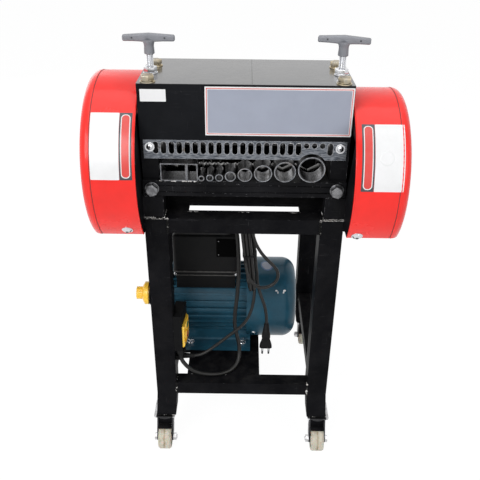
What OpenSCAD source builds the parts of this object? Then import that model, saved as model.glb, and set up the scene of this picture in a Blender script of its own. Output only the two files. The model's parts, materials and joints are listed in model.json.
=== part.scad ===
// Electric cable stripper on a wheeled steel stand.
// Cables go in through the feed tubes at the front, between grooved rollers
// below and slitting blades above. Two T-handle screws set the blade height.
// +X is the operator's right, +Y the back, +Z up, and Z = 0 is the floor.

/* [Stand] */
// Width over the legs
stand_w = 344; // [330:1:380]
// Depth over the legs
stand_d = 364; // [340:1:420]
// Height of the leg tops above the floor
stand_h = 545; // [520:1:600]
// Side of the square leg tube
leg_size = 40; // [36:1:44]
// Side of the square rail tube
rail_size = 28; // [24:1:30]
// Wall of both tubes
tube_wall = 2; // [1.5:0.5:3]
// Top of the low rails above the floor
low_rail_top = 170; // [160:1:190]
// Outward lean of each foot below the low rails, in degrees
foot_lean = 4; // [0:0.5:6]
// Thickness of the deck and of the motor plate
deck_t = 6; // [4:0.5:10]
// Width of the scrap opening in the deck
scrap_w = 196; // [160:1:220]
// Depth of the scrap opening in the deck
scrap_d = 30; // [20:1:60]

/* [Casters] */
// Height from the floor to the top of a caster plate
caster_h = 80; // [76:1:90]
// Diameter of a caster wheel
wheel_d = 50; // [40:1:54]
// Width of a caster wheel
wheel_w = 26; // [20:1:30]
// Distance from the swivel axis to the wheel axle
caster_trail = 27; // [20:1:32]
// Diameter of a wheel axle
axle_d = 8; // [6:0.5:10]

/* [Head] */
// Width of the head over its side frames
head_w = 340; // [330:1:344]
// Depth of the top plate
head_d = 160; // [150:1:180]
// Thickness of each side frame
frame_t = 28; // [22:1:32]
// Thickness of the top plate
top_t = 12; // [8:1:16]
// Height of the posts under the side frames
post_h = 41; // [36:1:60]
// Width of those posts, from the covers inward
post_w = 35; // [30:1:36]
// Depth of those posts
post_d = 29; // [22:1:32]
// Height of the side frames
frame_h = 179; // [170:1:200]
// Thickness of the sheet covers and of the comb plate
sheet_t = 3; // [2:0.5:4]

/* [Feed] */
// Height of the feed table's top above the side frames' bottom
table_h = 30; // [26:1:32]
// Outer diameters of the feed tubes, the widest first
tube_od = [45, 36, 30, 24, 18, 13, 12, 10]; // [6:0.5:50]
// Bore diameters of the feed tubes, in the same order
tube_id = [40, 31, 26, 20, 14, 10, 9, 7]; // [4:0.5:46]
// Gap between neighbouring tubes
tube_gap = 3; // [2:0.5:5]
// Place of the widest tube right of the middle
first_tube_x = 110; // [104:1:114]
// Length of the tubes and channels
tube_len = 36; // [30:1:38]
// Widths of the two flat cable channels
channel_w = [43, 18]; // [12:1:50]
// Height of the channels
channel_h = 31; // [20:1:34]
// Wall of the channels
channel_wall = 2; // [1:0.5:3]
// Pitch of the slots in the comb plate
slot_pitch = 12.9; // [11:0.1:15]
// Width of one slot
slot_w = 8.7; // [6:0.1:10]

/* [Rollers and blades] */
// Distance from the head's front to the roller and blade shafts
shaft_in = 62; // [60:1:70]
// Diameter of the roller shaft
roller_shaft_d = 25; // [20:1:28]
// Diameter of the feed rollers
roller_d = 60; // [50:1:60]
// Diameter of the blade shaft where it carries the blades
blade_shaft_d = 30; // [26:1:34]
// Diameter of the blade shaft in its bearing blocks
blade_journal_d = 25; // [20:1:25]
// Thickness of one slitting blade
blade_t = 4; // [3:0.5:6]
// Side of the square bearing blocks
bearing_block = 50; // [44:1:54]
// Lift of the blades when the T-handles are turned up
lift = 3.5; // [1:0.5:4]

/* [Gears and belt] */
// Module of the two gears that join the shafts
pair_module = 3; // [3]
// Teeth on each of them
pair_teeth = 30; // [30]
// Face width of those gears
pair_face = 25; // [16:1:28]
// Module of the reduction gears
drive_module = 2; // [2]
// Teeth on the main gear
main_teeth = 64; // [64]
// Teeth on the pinion
pinion_teeth = 16; // [16]
// Face width of the main gear
main_face = 20; // [14:1:24]
// Pitch diameter of the driven pulley
big_pulley_d = 100; // [90:1:104]
// Pitch diameter of the motor pulley
small_pulley_d = 50; // [46:1:56]
// Width of both pulleys
pulley_w = 17; // [15:1:19]
// Diameter of the pinion shaft
pinion_shaft_d = 20; // [16:1:20]
// Diameter of the roller shaft where it carries the main gear
gear_seat_d = 20; // [18:1:22]

/* [T-handles] */
// Length of a T-handle's bar
bar_len = 84; // [70:1:100]
// Diameter of the pressure screws
screw_d = 12; // [10:0.5:14]
// Height of a T-handle's top above the top plate
handle_h = 63; // [56:1:80]
// How far the right handle stands turned, in degrees
right_turn = -12; // [-40:1:40]

/* [Covers] */
// Radius of the left cover
left_cover_r = 148.5; // [146:0.5:156]
// Radius of the right cover
right_cover_r = 138; // [130:0.5:146]
// Depth of each cover without its lid
drum_depth = 72; // [66:1:90]
// Depth of each lid
lid_depth = 17.5; // [16:0.5:24]
// Wall of the covers
cover_wall = 2; // [1.5:0.5:3]

/* [Motor] */
// Height of the motor shaft above its feet
shaft_height = 90; // [90:1:100]
// Thickness of the packing strips under the motor's feet
pad_t = 4; // [2:0.5:8]
// Radius over the cooling fins
fin_r = 76; // [74:0.5:80]
// Radius of the barrel between the fins
barrel_r = 68; // [64:0.5:70]
// Number of cooling fins round the barrel
fin_count = 30; // [24:1:36]
// Length of the motor barrel
barrel_len = 165; // [150:1:180]
// Radius of the fan cover
cowl_r = 85.5; // [83:0.5:88]
// Length of the fan cover
cowl_len = 93; // [90:1:110]
// Diameter of the motor shaft
motor_shaft_d = 24; // [19:1:24]
// Height of the terminal box lid
lid_h = 85; // [60:1:88]

/* [Switches] */
// Height of the switch box
switch_h = 83; // [76:1:100]
// Depth of the switch box
switch_d = 52; // [48:1:60]
// Diameter of the push buttons
button_d = 14; // [10:1:16]
// Travel of the push buttons
button_travel = 3; // [2:0.5:4]
// Diameter of the selector knob's skirt
knob_d = 43; // [36:1:46]

/* [Cords] */
// Diameter of the motor cable
motor_cable_d = 8; // [7:0.5:9]
// Diameter of the mains cord
mains_cord_d = 6.2; // [6:0.1:8]

/* [Hidden] */
$fn = 48;

// Clearances and small details that recur.
run_gap = 0.1;      // a shaft, pin or button in its running bore, on the radius
fit_gap = 0.05;     // a part fixed on a shaft or in a bore, on the radius
weld_gap = 0.05;    // a rail set between two others and welded
seat_gap = 0.3;     // between faces of parts that move past each other
past = 1;           // how far a cut runs past the face it opens
facets = 32;        // faces round a hulled corner

// The head's front plate face. The stand's front stands a little ahead of it.
head_y = -148.5;
stand_ahead = 6;
stand_front = head_y - stand_ahead;
stand_back = stand_front + stand_d;
leg_out = stand_w / 2;
leg_in = leg_out - leg_size;
leg_mid = leg_out - leg_size / 2;
low_rail_z = low_rail_top - rail_size;
front_leg_y = stand_front + leg_size / 2;
rear_leg_y = stand_back - leg_size / 2;
foot_shift = (low_rail_z - caster_h) * tan(foot_lean);
side_rail_in = leg_mid - rail_size / 2;
mid_rail_y = head_y + 150;

// Casters.
caster_plate_x = 44;
caster_plate_y = 50;
caster_plate_t = 3;
caster_x = leg_mid + foot_shift + 4;
race_h = 5;
crown_r = 18;
crown_t = 3;
fork_t = 3;
fork_in = wheel_w / 2 + 1;
king_r = 5;
axle_z = wheel_d / 2;
crown_top = caster_h - caster_plate_t - race_h - seat_gap;

// Head.
frame_out = head_w / 2;
frame_in = frame_out - frame_t;
frame_z = stand_h + post_h;
frame_top = frame_z + frame_h;
plate_top = frame_top + top_t;
frame_front = head_y + sheet_t;
frame_back = head_y + head_d;
belly_drop = 26;
shaft_y = head_y + shaft_in;
shaft_gap = pair_module * pair_teeth;
roller_z = frame_z + 4;
blade_z = roller_z + shaft_gap;
roller_r = roller_d / 2;
table_z = frame_z + table_h;
comb_z = table_z + 37.5;
comb_top = table_z + 69.5;
tie_h = 28;
tie_t = 9;
table_t = 6;
table_depth = 25;

// Feed stations.
tubes = len(tube_od);
tube_lift = 0.2;    // the tubes' clearance over the table
channel_cable = 22; // the thickest flat cable for the channels
tube_front = head_y - stand_ahead;
function tube_x(i) =
    i == 0 ? first_tube_x : tube_x(i - 1) - tube_od[i - 1] / 2 - tube_gap - tube_od[i] / 2;
channel_right = tube_x(tubes - 1) - tube_od[tubes - 1] / 2 - 1;
channel_step = 0.5;
function channel_x(i) =
    i == 0 ? channel_right - channel_w[1] - channel_step - channel_w[0] / 2
    : channel_right - channel_w[1] / 2;
// Every station from left to right: its place, its width and the cable it takes.
stations = concat(
    [[channel_x(0), channel_w[0], channel_cable], [channel_x(1), channel_w[1], channel_cable]],
    [for (i = [tubes - 1 : -1 : 0]) [tube_x(i), tube_od[i], tube_id[i]]]
);
roller_end = frame_in - 4;
// A blade reaches most of the way through the jacket of the cable it is for.
function blade_r(cable) = shaft_gap - roller_r - 0.85 * cable + 1.5;

// Gears and belt.
pair_x = frame_out + 8;
main_x = frame_out + 25;
drive_gap = drive_module * (main_teeth + pinion_teeth) / 2;
drive_angle = 40;   // of the pinion above the roller shaft's level
pinion_y = shaft_y + drive_gap * cos(drive_angle);
pinion_z = roller_z + drive_gap * sin(drive_angle);
belt_x = -frame_out - 9.5;
belt_w = 13;
belt_out = 3;       // belt outside the pitch line
belt_in = 6;        // belt inside the pitch line
groove_angle = 18;  // half angle of the pulley grooves

// Covers.
cover_x = leg_out + 0.5;
left_cover_y = head_y + 95;
left_cover_z = frame_z + 34;
left_cut_z = stand_h - 28;
right_cover_y = head_y + 72;
right_cover_z = frame_z + 26;
right_cut_z = stand_h - 14;
lip_w = 8;
lid_round = 15;
tab_t = 3;
bracket_t = 3;

// T-handles.
handle_x = frame_out - 15;
bar_h = 14;
bar_t = 12;
hub_d = 17;
block_top = blade_z + bearing_block / 2;
screw_end_d = 8;
screw_end_len = 8;

// Motor.
motor_y = head_y + 170;
foot_z = low_rail_top + pad_t;
motor_z = foot_z + shaft_height;
motor_left = belt_x + 32.5;
shield_t = 11;
motor_right = motor_left + barrel_len;
box_left = motor_left + 5.5;
box_right = box_left + 130.5;
box_front = motor_y - 58;
box_back = box_front + 110;
box_seam = motor_z + 96;
box_top = box_seam + lid_h;

// Switches.
switch_out = 16;    // from the leg to the switch face at its front edge
switch_yaw = 5.5;   // how far that face turns to the operator
switch_z = low_rail_top + 82;
mains_gland_z = low_rail_top + 46;
switch_plate_z = switch_z + 8;
switch_plate_h = 49;
switch_plate_t = 1.5;
knob_z = stand_h - 169;
knob_y = front_leg_y;

// Cord routes, drawn by hand at one set of heights. A route moves by low below
// z0, by high above z1 and by a share of each between them. How far it moves
// comes from one of its own points and the height that point belongs at.
function moved(route, z0, low, z1, high) = [
    for (p = route)
        let (s = min(1, max(0, (p[2] - z0) / (z1 - z0))))
        [p[0], p[1], p[2] + low + (high - low) * s]
];
gland_grip = 2;
box_gland_h = 18;
loop_below_top = 114;
mains_drawn = [
    [-98, -124.5, 216], [-84, -123, 218], [-68, -120, 226], [-51, -117, 239],
    [-34, -115, 254], [-18, -113.5, 268], [-3, -112, 282], [9, -110.5, 299],
    [16.5, -108, 318], [20.8, -104, 337], [22.2, -97.5, 355], [21.9, -90.5, 370]
];
loop_drawn = [
    [5, -120.4, 431], [9.3, -126, 414], [16.5, -129.5, 399.5], [26, -129.2, 390], [36.5, -126.5, 385.6],
    [49, -123.8, 386.7], [59.5, -122, 394.1], [64.9, -121.3, 405.7], [63.8, -121.1, 418.5],
    [58, -121.2, 428.5], [49.5, -121.5, 438.5], [40.5, -121.8, 449], [31.5, -121.2, 461], [22, -116, 473]
];
motor_drawn = [
    [-22, -8, 461], [-22, -10, 474], [-20, -21, 487], [-18, -39, 493], [-16, -57, 487],
    [-13, -69, 472], [-11, -73, 454], [-10, -74, 436], [-9, -75, 416], [-9, -76, 396],
    [-9, -77, 376], [-10, -78, 356], [-11, -79, 336], [-13, -80, 316], [-15, -81, 296],
    [-16, -82, 276], [-15, -83, 256], [-11, -85, 237], [-7, -88, 218], [-6, -95, 200],
    [-9, -106, 186], [-20, -118, 177], [-36, -127, 174], [-54, -133, 175],
    [-72, -137, 179], [-89, -141, 187], [-104, -143, 198], [-115, -144, 212],
    [-120, -145, 224], [-121, -145, 232]
];
rail_rise = mains_gland_z - mains_drawn[0][2];
stand_rise = stand_h - loop_below_top - loop_drawn[0][2];
box_rise = box_top + box_gland_h - gland_grip - motor_drawn[0][2];
// The motor cable runs from the terminal box's gland over its edge, down in
// front of the motor and across the low rail. Its arch fits under the deck.
arch_z = box_top + box_gland_h;
arch_room = 76;
arch_scale = min(1, (stand_h - deck_t - arch_z) / arch_room);
motor_points = moved(motor_drawn, 237, rail_rise, 436, box_rise);
motor_route = [
    for (p = motor_points) [p[0], p[1], p[2] > arch_z ? arch_z + (p[2] - arch_z) * arch_scale : p[2]]
];
// The mains cord runs from the leg's strain relief up into the hank.
mains_route = moved(mains_drawn, 239, rail_rise, 356, stand_rise);
// One turn hangs loose out of the hank's side.
loop_route = moved(loop_drawn, 0, stand_rise, 1, stand_rise);
// The plug hangs from the hank's lower end.
plug_route = moved([
    [27.6, -88.5, 377], [30, -92, 363.5], [33.8, -97, 351.5], [38.4, -101.5, 340], [42.6, -105, 328],
    [45.6, -107, 314.5], [47.3, -108, 300], [47.7, -108, 283.5]
], 0, stand_rise, 1, stand_rise);
hank_x = 4.3;
hank_high = stand_h - 19;
hank_low = hank_high - 159.8;
hank_w = 43.6;
hank_waist = 25;
hank_ease = 50;     // height over which a fold narrows to the waist
hank_facet = 10;
hank_t = 25;
hank_lean = 5.5;
hook_w = 10;
hook_h = 9;
plug_x = 47.7;
plug_y = -108;
plug_z = hank_low - 78.2;
pin_gap = 12.7;

// ---- helpers ----

// A box from one corner to the opposite one.
module block(low, high) translate(low) cube(high - low);

// An outline drawn in Y and Z, extruded along +X from x by t.
module plate_yz(x, t) translate([x, 0, 0]) rotate([90, 0, 90]) linear_extrude(t) children();

// An outline drawn in X and Z, extruded along +Y from y by t.
module plate_xz(y, t) translate([0, y + t, 0]) rotate([90, 0, 0]) linear_extrude(t) children();

// A round bar along X, and one along Y.
module bar_x(r, x0, x1, y, z) translate([x0, y, z]) rotate([0, 90, 0]) cylinder(r = r, h = x1 - x0);
module bar_y(r, y0, y1, x, z) translate([x, y1, z]) rotate([90, 0, 0]) cylinder(r = r, h = y1 - y0);

// A profile of radius and place, turned round an axis that lies along X.
module turned_x(x, y, z) translate([x, y, z]) rotate([0, 90, 0]) rotate_extrude() children();

module both_sides() {
    children();
    mirror([1, 0, 0]) children();
}

module rounded_rect(w, d, r) {
    square([w - 2 * r, d], center = true);
    square([w, d - 2 * r], center = true);
    for (x = [-1, 1], y = [-1, 1])
        translate([x * (w / 2 - r), y * (d / 2 - r)]) circle(r);
}

// A slot with round ends between two places, drawn flat.
module slot_shape(x, z0, z1, w) {
    translate([x, z0 + w / 2]) circle(w / 2);
    translate([x, z1 - w / 2]) circle(w / 2);
    translate([x - w / 2, z0 + w / 2]) square([w, z1 - z0 - w]);
}

// A hexagon head or nut of the width across its flats.
module hex(af, h) cylinder(d = af / cos(30), h = h, $fn = 6);

// A dome screw head on a surface at z = 0.
module dome_head(d, h) intersection() {
    sphere_r = (d * d / 4 + h * h) / (2 * h);
    translate([0, 0, h - sphere_r]) sphere(sphere_r);
    cylinder(d = d, h = h + past);
}

// A square tube along X or Y from its low corner.
module tube_along_x(x0, x1, y, z) difference() {
    block([x0, y, z], [x1, y + rail_size, z + rail_size]);
    block([x0 - past, y + tube_wall, z + tube_wall],
          [x1 + past, y + rail_size - tube_wall, z + rail_size - tube_wall]);
}
module tube_along_y(x, y0, y1, z) difference() {
    block([x, y0, z], [x + rail_size, y1, z + rail_size]);
    block([x + tube_wall, y0 - past, z + tube_wall],
          [x + rail_size - tube_wall, y1 + past, z + rail_size - tube_wall]);
}

// ---- spur gears ----

rad = 180 / PI;
function involute(a) = tan(a) * rad - a;
// Half the angle of a tooth at radius r.
function half_tooth(teeth, m, r) =
    let (rp = m * teeth / 2, rb = rp * cos(20), a = r > rb ? acos(rb / r) : 0)
    90 / teeth - tooth_play / rp * rad + involute(20) - involute(a);
tooth_play = 0.12;
function polar(r, a) = [r * cos(a), r * sin(a)];
function tooth_points(teeth, m, turn) =
    let (
        rp = m * teeth / 2,
        root = rp - 1.25 * m,
        start = max(root + 0.05, rp * cos(20)),
        tip = rp + 0.95 * m,
        radii = [root, start, rp, tip]
    )
    concat(
        [for (r = radii) polar(r, turn - half_tooth(teeth, m, r))],
        [for (i = [3 : -1 : 0]) polar(radii[i], turn + half_tooth(teeth, m, radii[i]))]
    );
module gear_outline(teeth, m, turn)
    polygon([for (i = [0 : teeth - 1]) each tooth_points(teeth, m, turn + i * 360 / teeth)]);

// A gear on an X axis, with a bore, a hub and a ring of lightening holes.
module spur_gear(x, face, y, z, teeth, m, turn, bore_r, holes)
    translate([0, y, z]) difference() {
        plate_yz(x, face) gear_outline(teeth, m, turn);
        bar_x(bore_r, x - past, x + face + past, 0, 0);
        hole_ring = (m * teeth / 2 - 1.25 * m + bore_r) / 2;
        for (i = [0 : 1 : holes - 1]) {
            c = polar(hole_ring + 2, i * 360 / holes);
            bar_x(hole_ring / 4, x - past, x + face + past, c[0], c[1]);
        }
    }

// ---- stand ----

module leg_outline(wall, cap, over)
    polygon([
        [leg_in + wall, stand_h - cap], [leg_out - wall, stand_h - cap],
        [leg_out - wall, low_rail_z],
        [leg_out - wall + foot_shift + over * tan(foot_lean), caster_h - over],
        [leg_in + wall + foot_shift + over * tan(foot_lean), caster_h - over],
        [leg_in + wall, low_rail_z]
    ]);
module leg(y) difference() {
    plate_xz(y - leg_size / 2, leg_size) leg_outline(0, 0, 0);
    plate_xz(y - leg_size / 2 + tube_wall, leg_size - 2 * tube_wall)
        leg_outline(tube_wall, tube_wall, past);
}
module legs() color("#1c1c1e") {
    for (y = [front_leg_y, rear_leg_y]) leg(y);
    mirror([1, 0, 0]) leg(rear_leg_y);
    difference() {
        mirror([1, 0, 0]) leg(front_leg_y);
        bar_x(knob_stem_r + run_gap, -leg_out - past, -leg_out + tube_wall + past, knob_y, knob_z);
    }
}

module rail_ring(z) {
    for (y = [stand_front, stand_back - rail_size]) tube_along_x(-leg_in, leg_in, y, z);
    both_sides()
        tube_along_y(side_rail_in, stand_front + leg_size, stand_back - leg_size, z);
}
module top_rails() color("#1c1c1e") {
    rail_ring(stand_h - rail_size);
    tube_along_x(-side_rail_in + weld_gap, side_rail_in - weld_gap, mid_rail_y, stand_h - rail_size);
}
module low_rails() color("#1c1c1e") rail_ring(low_rail_z);

scrap_strip = 5;
motor_plate_left = -112;
pad_half = 14;
motor_plate_right = 36;
deck_front = stand_front + rail_size;
module deck_plates() color("#1c1c1e") {
    difference() {
        block([-side_rail_in, deck_front, stand_h - deck_t], [side_rail_in, mid_rail_y, stand_h]);
        block([-scrap_w / 2, deck_front + scrap_strip, stand_h - deck_t - past],
              [scrap_w / 2, deck_front + scrap_strip + scrap_d, stand_h + past]);
        both_sides() block([leg_in, deck_front - past, stand_h - deck_t - past],
                           [side_rail_in + past, stand_front + leg_size, stand_h + past]);
    }
    difference() {
        union() {
            block([motor_plate_left, deck_front, low_rail_top - deck_t],
                  [motor_plate_right, stand_back - rail_size, low_rail_top]);
            for (y = [-foot_bolt_y, foot_bolt_y])
                block([foot_left - 1, motor_y + y - pad_half, low_rail_top - deck_t],
                      [foot_right + 1, motor_y + y + pad_half, foot_z]);
        }
        for (x = foot_bolt_x, y = [-foot_bolt_y, foot_bolt_y])
            translate([x, motor_y + y, low_rail_top - deck_t - past])
                cylinder(d = foot_bolt_d + 2 * fit_gap, h = deck_t + pad_t + 2 * past);
    }
}

// ---- casters ----

module caster_plate() {
    translate([0, 0, caster_h - caster_plate_t]) linear_extrude(caster_plate_t)
        rounded_rect(caster_plate_x, caster_plate_y, 4);
    translate([0, 0, crown_top + seat_gap]) cylinder(r = crown_r - 1, h = race_h);
    translate([0, 0, crown_top - crown_t - seat_gap - past])
        cylinder(r = king_r, h = race_h + crown_t + past);
    translate([0, 0, crown_top - crown_t - seat_gap - 2.5]) cylinder(r = king_r + 3, h = 2.5);
}
module caster_plates() color("#2a2a2c")
    both_sides() translate([caster_x, front_leg_y, 0]) caster_plate();

axle_boss = 8;
module fork_arm_outline(trail, top, back) {
    polygon([[-back, top], [back - 2, top], [back - 2, top - 8],
             [axle_boss - 1 - trail, axle_z - 3], [-axle_boss + 0.5 - trail, axle_z + 2]]);
    translate([-trail, axle_z]) circle(axle_boss);
}
module fork_arms(trail, top, back) difference() {
    both_sides() plate_yz(fork_in, fork_t) fork_arm_outline(trail, top, back);
    bar_x(axle_d / 2 + fit_gap, -fork_in - fork_t - past, fork_in + fork_t + past, -trail, axle_z);
}
// The axle bolt, with its head on the side given and its nut on the other.
module axle(trail, side) {
    arm = fork_in + fork_t + fit_gap;
    bar_x(axle_d / 2, -arm - (side > 0 ? axle_d : 1), arm + (side > 0 ? 1 : axle_d), -trail, axle_z);
    translate([side * arm, -trail, axle_z]) rotate([0, side * 90, 0]) hex(13, 5);
    translate([-side * arm, -trail, axle_z]) rotate([0, -side * 90, 0]) hex(13, 6.5);
}
module swivel_fork(side) translate([side * caster_x, front_leg_y, 0]) {
    union() {
        fork_arms(caster_trail, crown_top, 13);
        translate([0, 0, crown_top - crown_t]) difference() {
            cylinder(r = crown_r, h = crown_t);
            translate([0, 0, -past]) cylinder(r = king_r + run_gap, h = crown_t + 2 * past);
        }
    }
    axle(caster_trail, side);
}
module left_fork() color("#232325") swivel_fork(-1);
module right_fork() color("#232325") swivel_fork(1);
module rear_forks() color("#232325")
    for (side = [-1, 1]) translate([side * caster_x, rear_leg_y, 0]) {
        union() {
            fork_arms(0, caster_h - caster_plate_t, 19);
            translate([0, 0, caster_h - caster_plate_t]) linear_extrude(caster_plate_t)
                rounded_rect(caster_plate_x, caster_plate_y, 4);
        }
        axle(0, side);
    }

// A one-piece nylon wheel: hub, web and rim with a crowned tread.
module wheel(x, y) {
    r = wheel_d / 2;
    half = wheel_w / 2;
    hub = fork_in - seat_gap;
    turned_x(x, y, axle_z) polygon([
        [axle_d / 2 + run_gap, -hub], [axle_d / 2 + 5, -hub], [axle_d / 2 + 6, -half / 3],
        [r - 7, -half / 3], [r - 6, -half], [r - 2, -half], [r, -half + 3],
        [r, half - 3], [r - 2, half], [r - 6, half], [r - 7, half / 3],
        [axle_d / 2 + 6, half / 3], [axle_d / 2 + 5, hub], [axle_d / 2 + run_gap, hub]
    ]);
}
front_wheel_y = front_leg_y - caster_trail;
module front_left_wheel() color("#e8e2d2") wheel(-caster_x, front_wheel_y);
module front_right_wheel() color("#e8e2d2") wheel(caster_x, front_wheel_y);
module rear_left_wheel() color("#e8e2d2") wheel(-caster_x, rear_leg_y);
module rear_right_wheel() color("#e8e2d2") wheel(caster_x, rear_leg_y);

// ---- head ----

post_front_y = head_y + post_d / 2 - 3;
post_back_y = frame_back - post_d / 2 + 2;
module head_posts() color("#28282a")
    both_sides() for (y = [post_front_y, post_back_y])
        block([leg_out - post_w, y - post_d / 2, stand_h], [leg_out, y + post_d / 2, frame_z]);

window_gap = 0.3;
bush_wall = 4.5;
pinion_bush_wall = 3;
tie_bolt_x = frame_out - 15.5;
tie_bolt_z = table_z - tie_h / 2;
bolt_d = 12;
bolt_grip = 20;
module side_outline() difference() {
    polygon([
        [frame_front, frame_z], [shaft_y - 34, frame_z], [shaft_y - 28, frame_z - belly_drop + 6],
        [shaft_y - 22, frame_z - belly_drop], [shaft_y + 52, frame_z - belly_drop],
        [shaft_y + 58, frame_z - belly_drop + 6], [shaft_y + 64, frame_z],
        [frame_back, frame_z], [frame_back, frame_top], [frame_front, frame_top]
    ]);
    translate([shaft_y, roller_z]) circle(roller_shaft_d / 2 + bush_wall + fit_gap);
    translate([shaft_y - bearing_block / 2 - window_gap, blade_z - bearing_block / 2 - window_gap])
        square([bearing_block + 2 * window_gap, frame_top]);
}
module side_frame(side) difference() {
    plate_yz(side > 0 ? frame_in : -frame_out, frame_t) side_outline();
    for (y = top_bolt_y) translate([side * top_bolt_x, y, frame_top - bolt_grip])
        cylinder(d = bolt_d + 2 * fit_gap, h = bolt_grip + past);
    bar_y(bolt_d / 2 + fit_gap, frame_front - past, frame_front + bolt_grip, side * tie_bolt_x, tie_bolt_z);
    bar_y(bolt_d / 2 + fit_gap, frame_back - bolt_grip, frame_back + past, side * tie_bolt_x, tie_bolt_z);
}
module left_side_frame() color("#2b2b2d") difference() {
    side_frame(-1);
    bar_x(pinion_shaft_d / 2 + pinion_bush_wall + fit_gap, -frame_out - past, -frame_in + past,
          pinion_y, pinion_z);
}
module right_side_frame() color("#2b2b2d") side_frame(1);

top_bolt_x = frame_out - 17;
top_bolt_y = [head_y + 10, head_y + 108];
module top_plate() color("#343438") difference() {
    block([-frame_out, head_y, frame_top], [frame_out, frame_back, plate_top]);
    for (x = [-top_bolt_x, top_bolt_x], y = top_bolt_y)
        translate([x, y, frame_top - past]) cylinder(d = bolt_d + 2 * fit_gap, h = top_t + 2 * past);
    for (x = [-handle_x, handle_x])
        translate([x, shaft_y, frame_top - past]) cylinder(d = screw_d + 2 * run_gap, h = top_t + 2 * past);
}

module head_covers() color("#232427")
    for (y = [head_y, frame_back])
        block([-frame_out, y, comb_top], [frame_out, y + sheet_t, frame_top]);

comb_margin = 5;
comb_screw_x = frame_out - 15;
comb_screw_z = comb_z + 20;
comb_screw_d = 6;
slot_low = 8.5;
slot_high = 3;
first_slot_x = -145.2;
comb_holes = [19, 20, 21];
comb_slots = 24;
module comb_plate() color("#c2c6c8") difference() {
    block([-frame_out + comb_margin, head_y, comb_z], [frame_out - comb_margin, head_y + sheet_t, comb_top]);
    plate_xz(head_y - past, sheet_t + 2 * past) {
        for (i = [0 : comb_slots - 2]) {
            x = first_slot_x + i * slot_pitch;
            if (i < comb_holes[0] || i > comb_holes[2])
                slot_shape(x, comb_z + slot_low, comb_top - slot_high, slot_w);
            else
                translate([x, comb_top - slot_high - slot_w / 2]) circle(slot_w / 2);
        }
        translate([first_tube_x, tube_z(0)]) circle(tube_od[0] / 2 + 3.2);
    }
    for (x = [-comb_screw_x, comb_screw_x])
        bar_y(comb_screw_d / 2 + fit_gap, head_y - past, head_y + sheet_t + past, x, comb_screw_z);
}

module tie_bar(y) difference() {
    block([-frame_out, y, table_z - tie_h], [frame_out, y + tie_t, table_z]);
    for (x = [-tie_bolt_x, tie_bolt_x])
        bar_y(bolt_d / 2 + fit_gap, y - past, y + tie_t + past, x, tie_bolt_z);
}
module tie_bars() color("#28282a") {
    union() {
        tie_bar(frame_front - tie_t);
        block([-frame_in + 0.5, frame_front, table_z - table_t],
              [frame_in - 0.5, frame_front + table_depth, table_z]);
    }
    tie_bar(frame_back);
}

function tube_z(i) = table_z + tube_lift + tube_od[i] / 2;
module feed_guides() color("#5b5e61") {
    for (i = [0 : tubes - 1]) difference() {
        bar_y(tube_od[i] / 2, tube_front, tube_front + tube_len, tube_x(i), tube_z(i));
        bar_y(tube_id[i] / 2, tube_front - past, tube_front + tube_len + past, tube_x(i), tube_z(i));
    }
    for (i = [0, 1]) {
        w = channel_w[i];
        x = channel_x(i) - w / 2;
        difference() {
            block([x, tube_front, table_z], [x + w, tube_front + tube_len, table_z + channel_h]);
            block([x + channel_wall, tube_front - past, table_z + channel_wall],
                  [x + w - channel_wall, tube_front + tube_len + past, table_z + channel_h - channel_wall]);
        }
    }
}

head_af = 19;
head_h = 8;
lock_nut_h = 11;
foot_bolt_d = 8;
module bolt_down(x, y, z, d, af, h, shank) translate([x, y, z]) {
    hex(af, h);
    translate([0, 0, -shank]) cylinder(d = d, h = shank + past);
}
module frame_bolts() color("#c8a94e") {
    for (x = [-top_bolt_x, top_bolt_x], y = top_bolt_y)
        bolt_down(x, y, plate_top, bolt_d, head_af, head_h, top_t + bolt_grip - 2);
    for (x = [-handle_x, handle_x]) translate([x, shaft_y, plate_top]) difference() {
        hex(head_af, lock_nut_h);
        translate([0, 0, -past]) cylinder(d = screw_d + 2 * run_gap, h = lock_nut_h + 2 * past);
    }
    for (x = [-tie_bolt_x, tie_bolt_x]) {
        translate([x, frame_front - tie_t, tie_bolt_z]) rotate([90, 0, 0])
            bolt_down(0, 0, 0, bolt_d, head_af, head_h, tie_t + bolt_grip - 2);
        translate([x, frame_back + tie_t, tie_bolt_z]) rotate([-90, 0, 0])
            bolt_down(0, 0, 0, bolt_d, head_af, head_h, tie_t + bolt_grip - 2);
    }
    for (x = foot_bolt_x, y = [-foot_bolt_y, foot_bolt_y])
        bolt_down(x, motor_y + y, foot_z + foot_t, foot_bolt_d, 13, 6, foot_t + pad_t + deck_t);
}

// ---- T-handles and bearing blocks ----

handle_top = plate_top + handle_h;
bar_low = handle_top - bar_h;
bar_end_h = 11;
bar_hole_d = 4;
hub_low = bar_low - 18;
screw_top = bar_low - 2;
module t_handle(x, turn) translate([x, shaft_y, 0]) rotate([0, 0, turn]) difference() {
    union() {
        plate_xz(-bar_t / 2, bar_t) difference() {
            polygon([
                [-bar_len / 2, bar_low], [bar_len / 2, bar_low], [bar_len / 2, bar_low + bar_end_h - 2],
                [bar_len / 2 - 2, bar_low + bar_end_h], [0, handle_top],
                [-bar_len / 2 + 2, bar_low + bar_end_h], [-bar_len / 2, bar_low + bar_end_h - 2]
            ]);
            for (s = [-1, 1])
                translate([s * (bar_len / 2 - 7), bar_low + bar_end_h / 2]) circle(d = bar_hole_d);
        }
        translate([0, 0, hub_low]) cylinder(d = hub_d, h = bar_low - hub_low);
    }
    translate([0, 0, hub_low - past]) cylinder(d = screw_d + 2 * fit_gap, h = screw_top - hub_low + past);
}
module pressure_screw(x) translate([x, shaft_y, 0]) {
    translate([0, 0, block_top + run_gap]) cylinder(d = screw_d, h = screw_top - block_top - run_gap);
    translate([0, 0, block_top - screw_end_len + seat_gap]) cylinder(d = screw_end_d, h = screw_end_len);
}
module left_handle() color("#232326") t_handle(-handle_x, 0);
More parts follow.
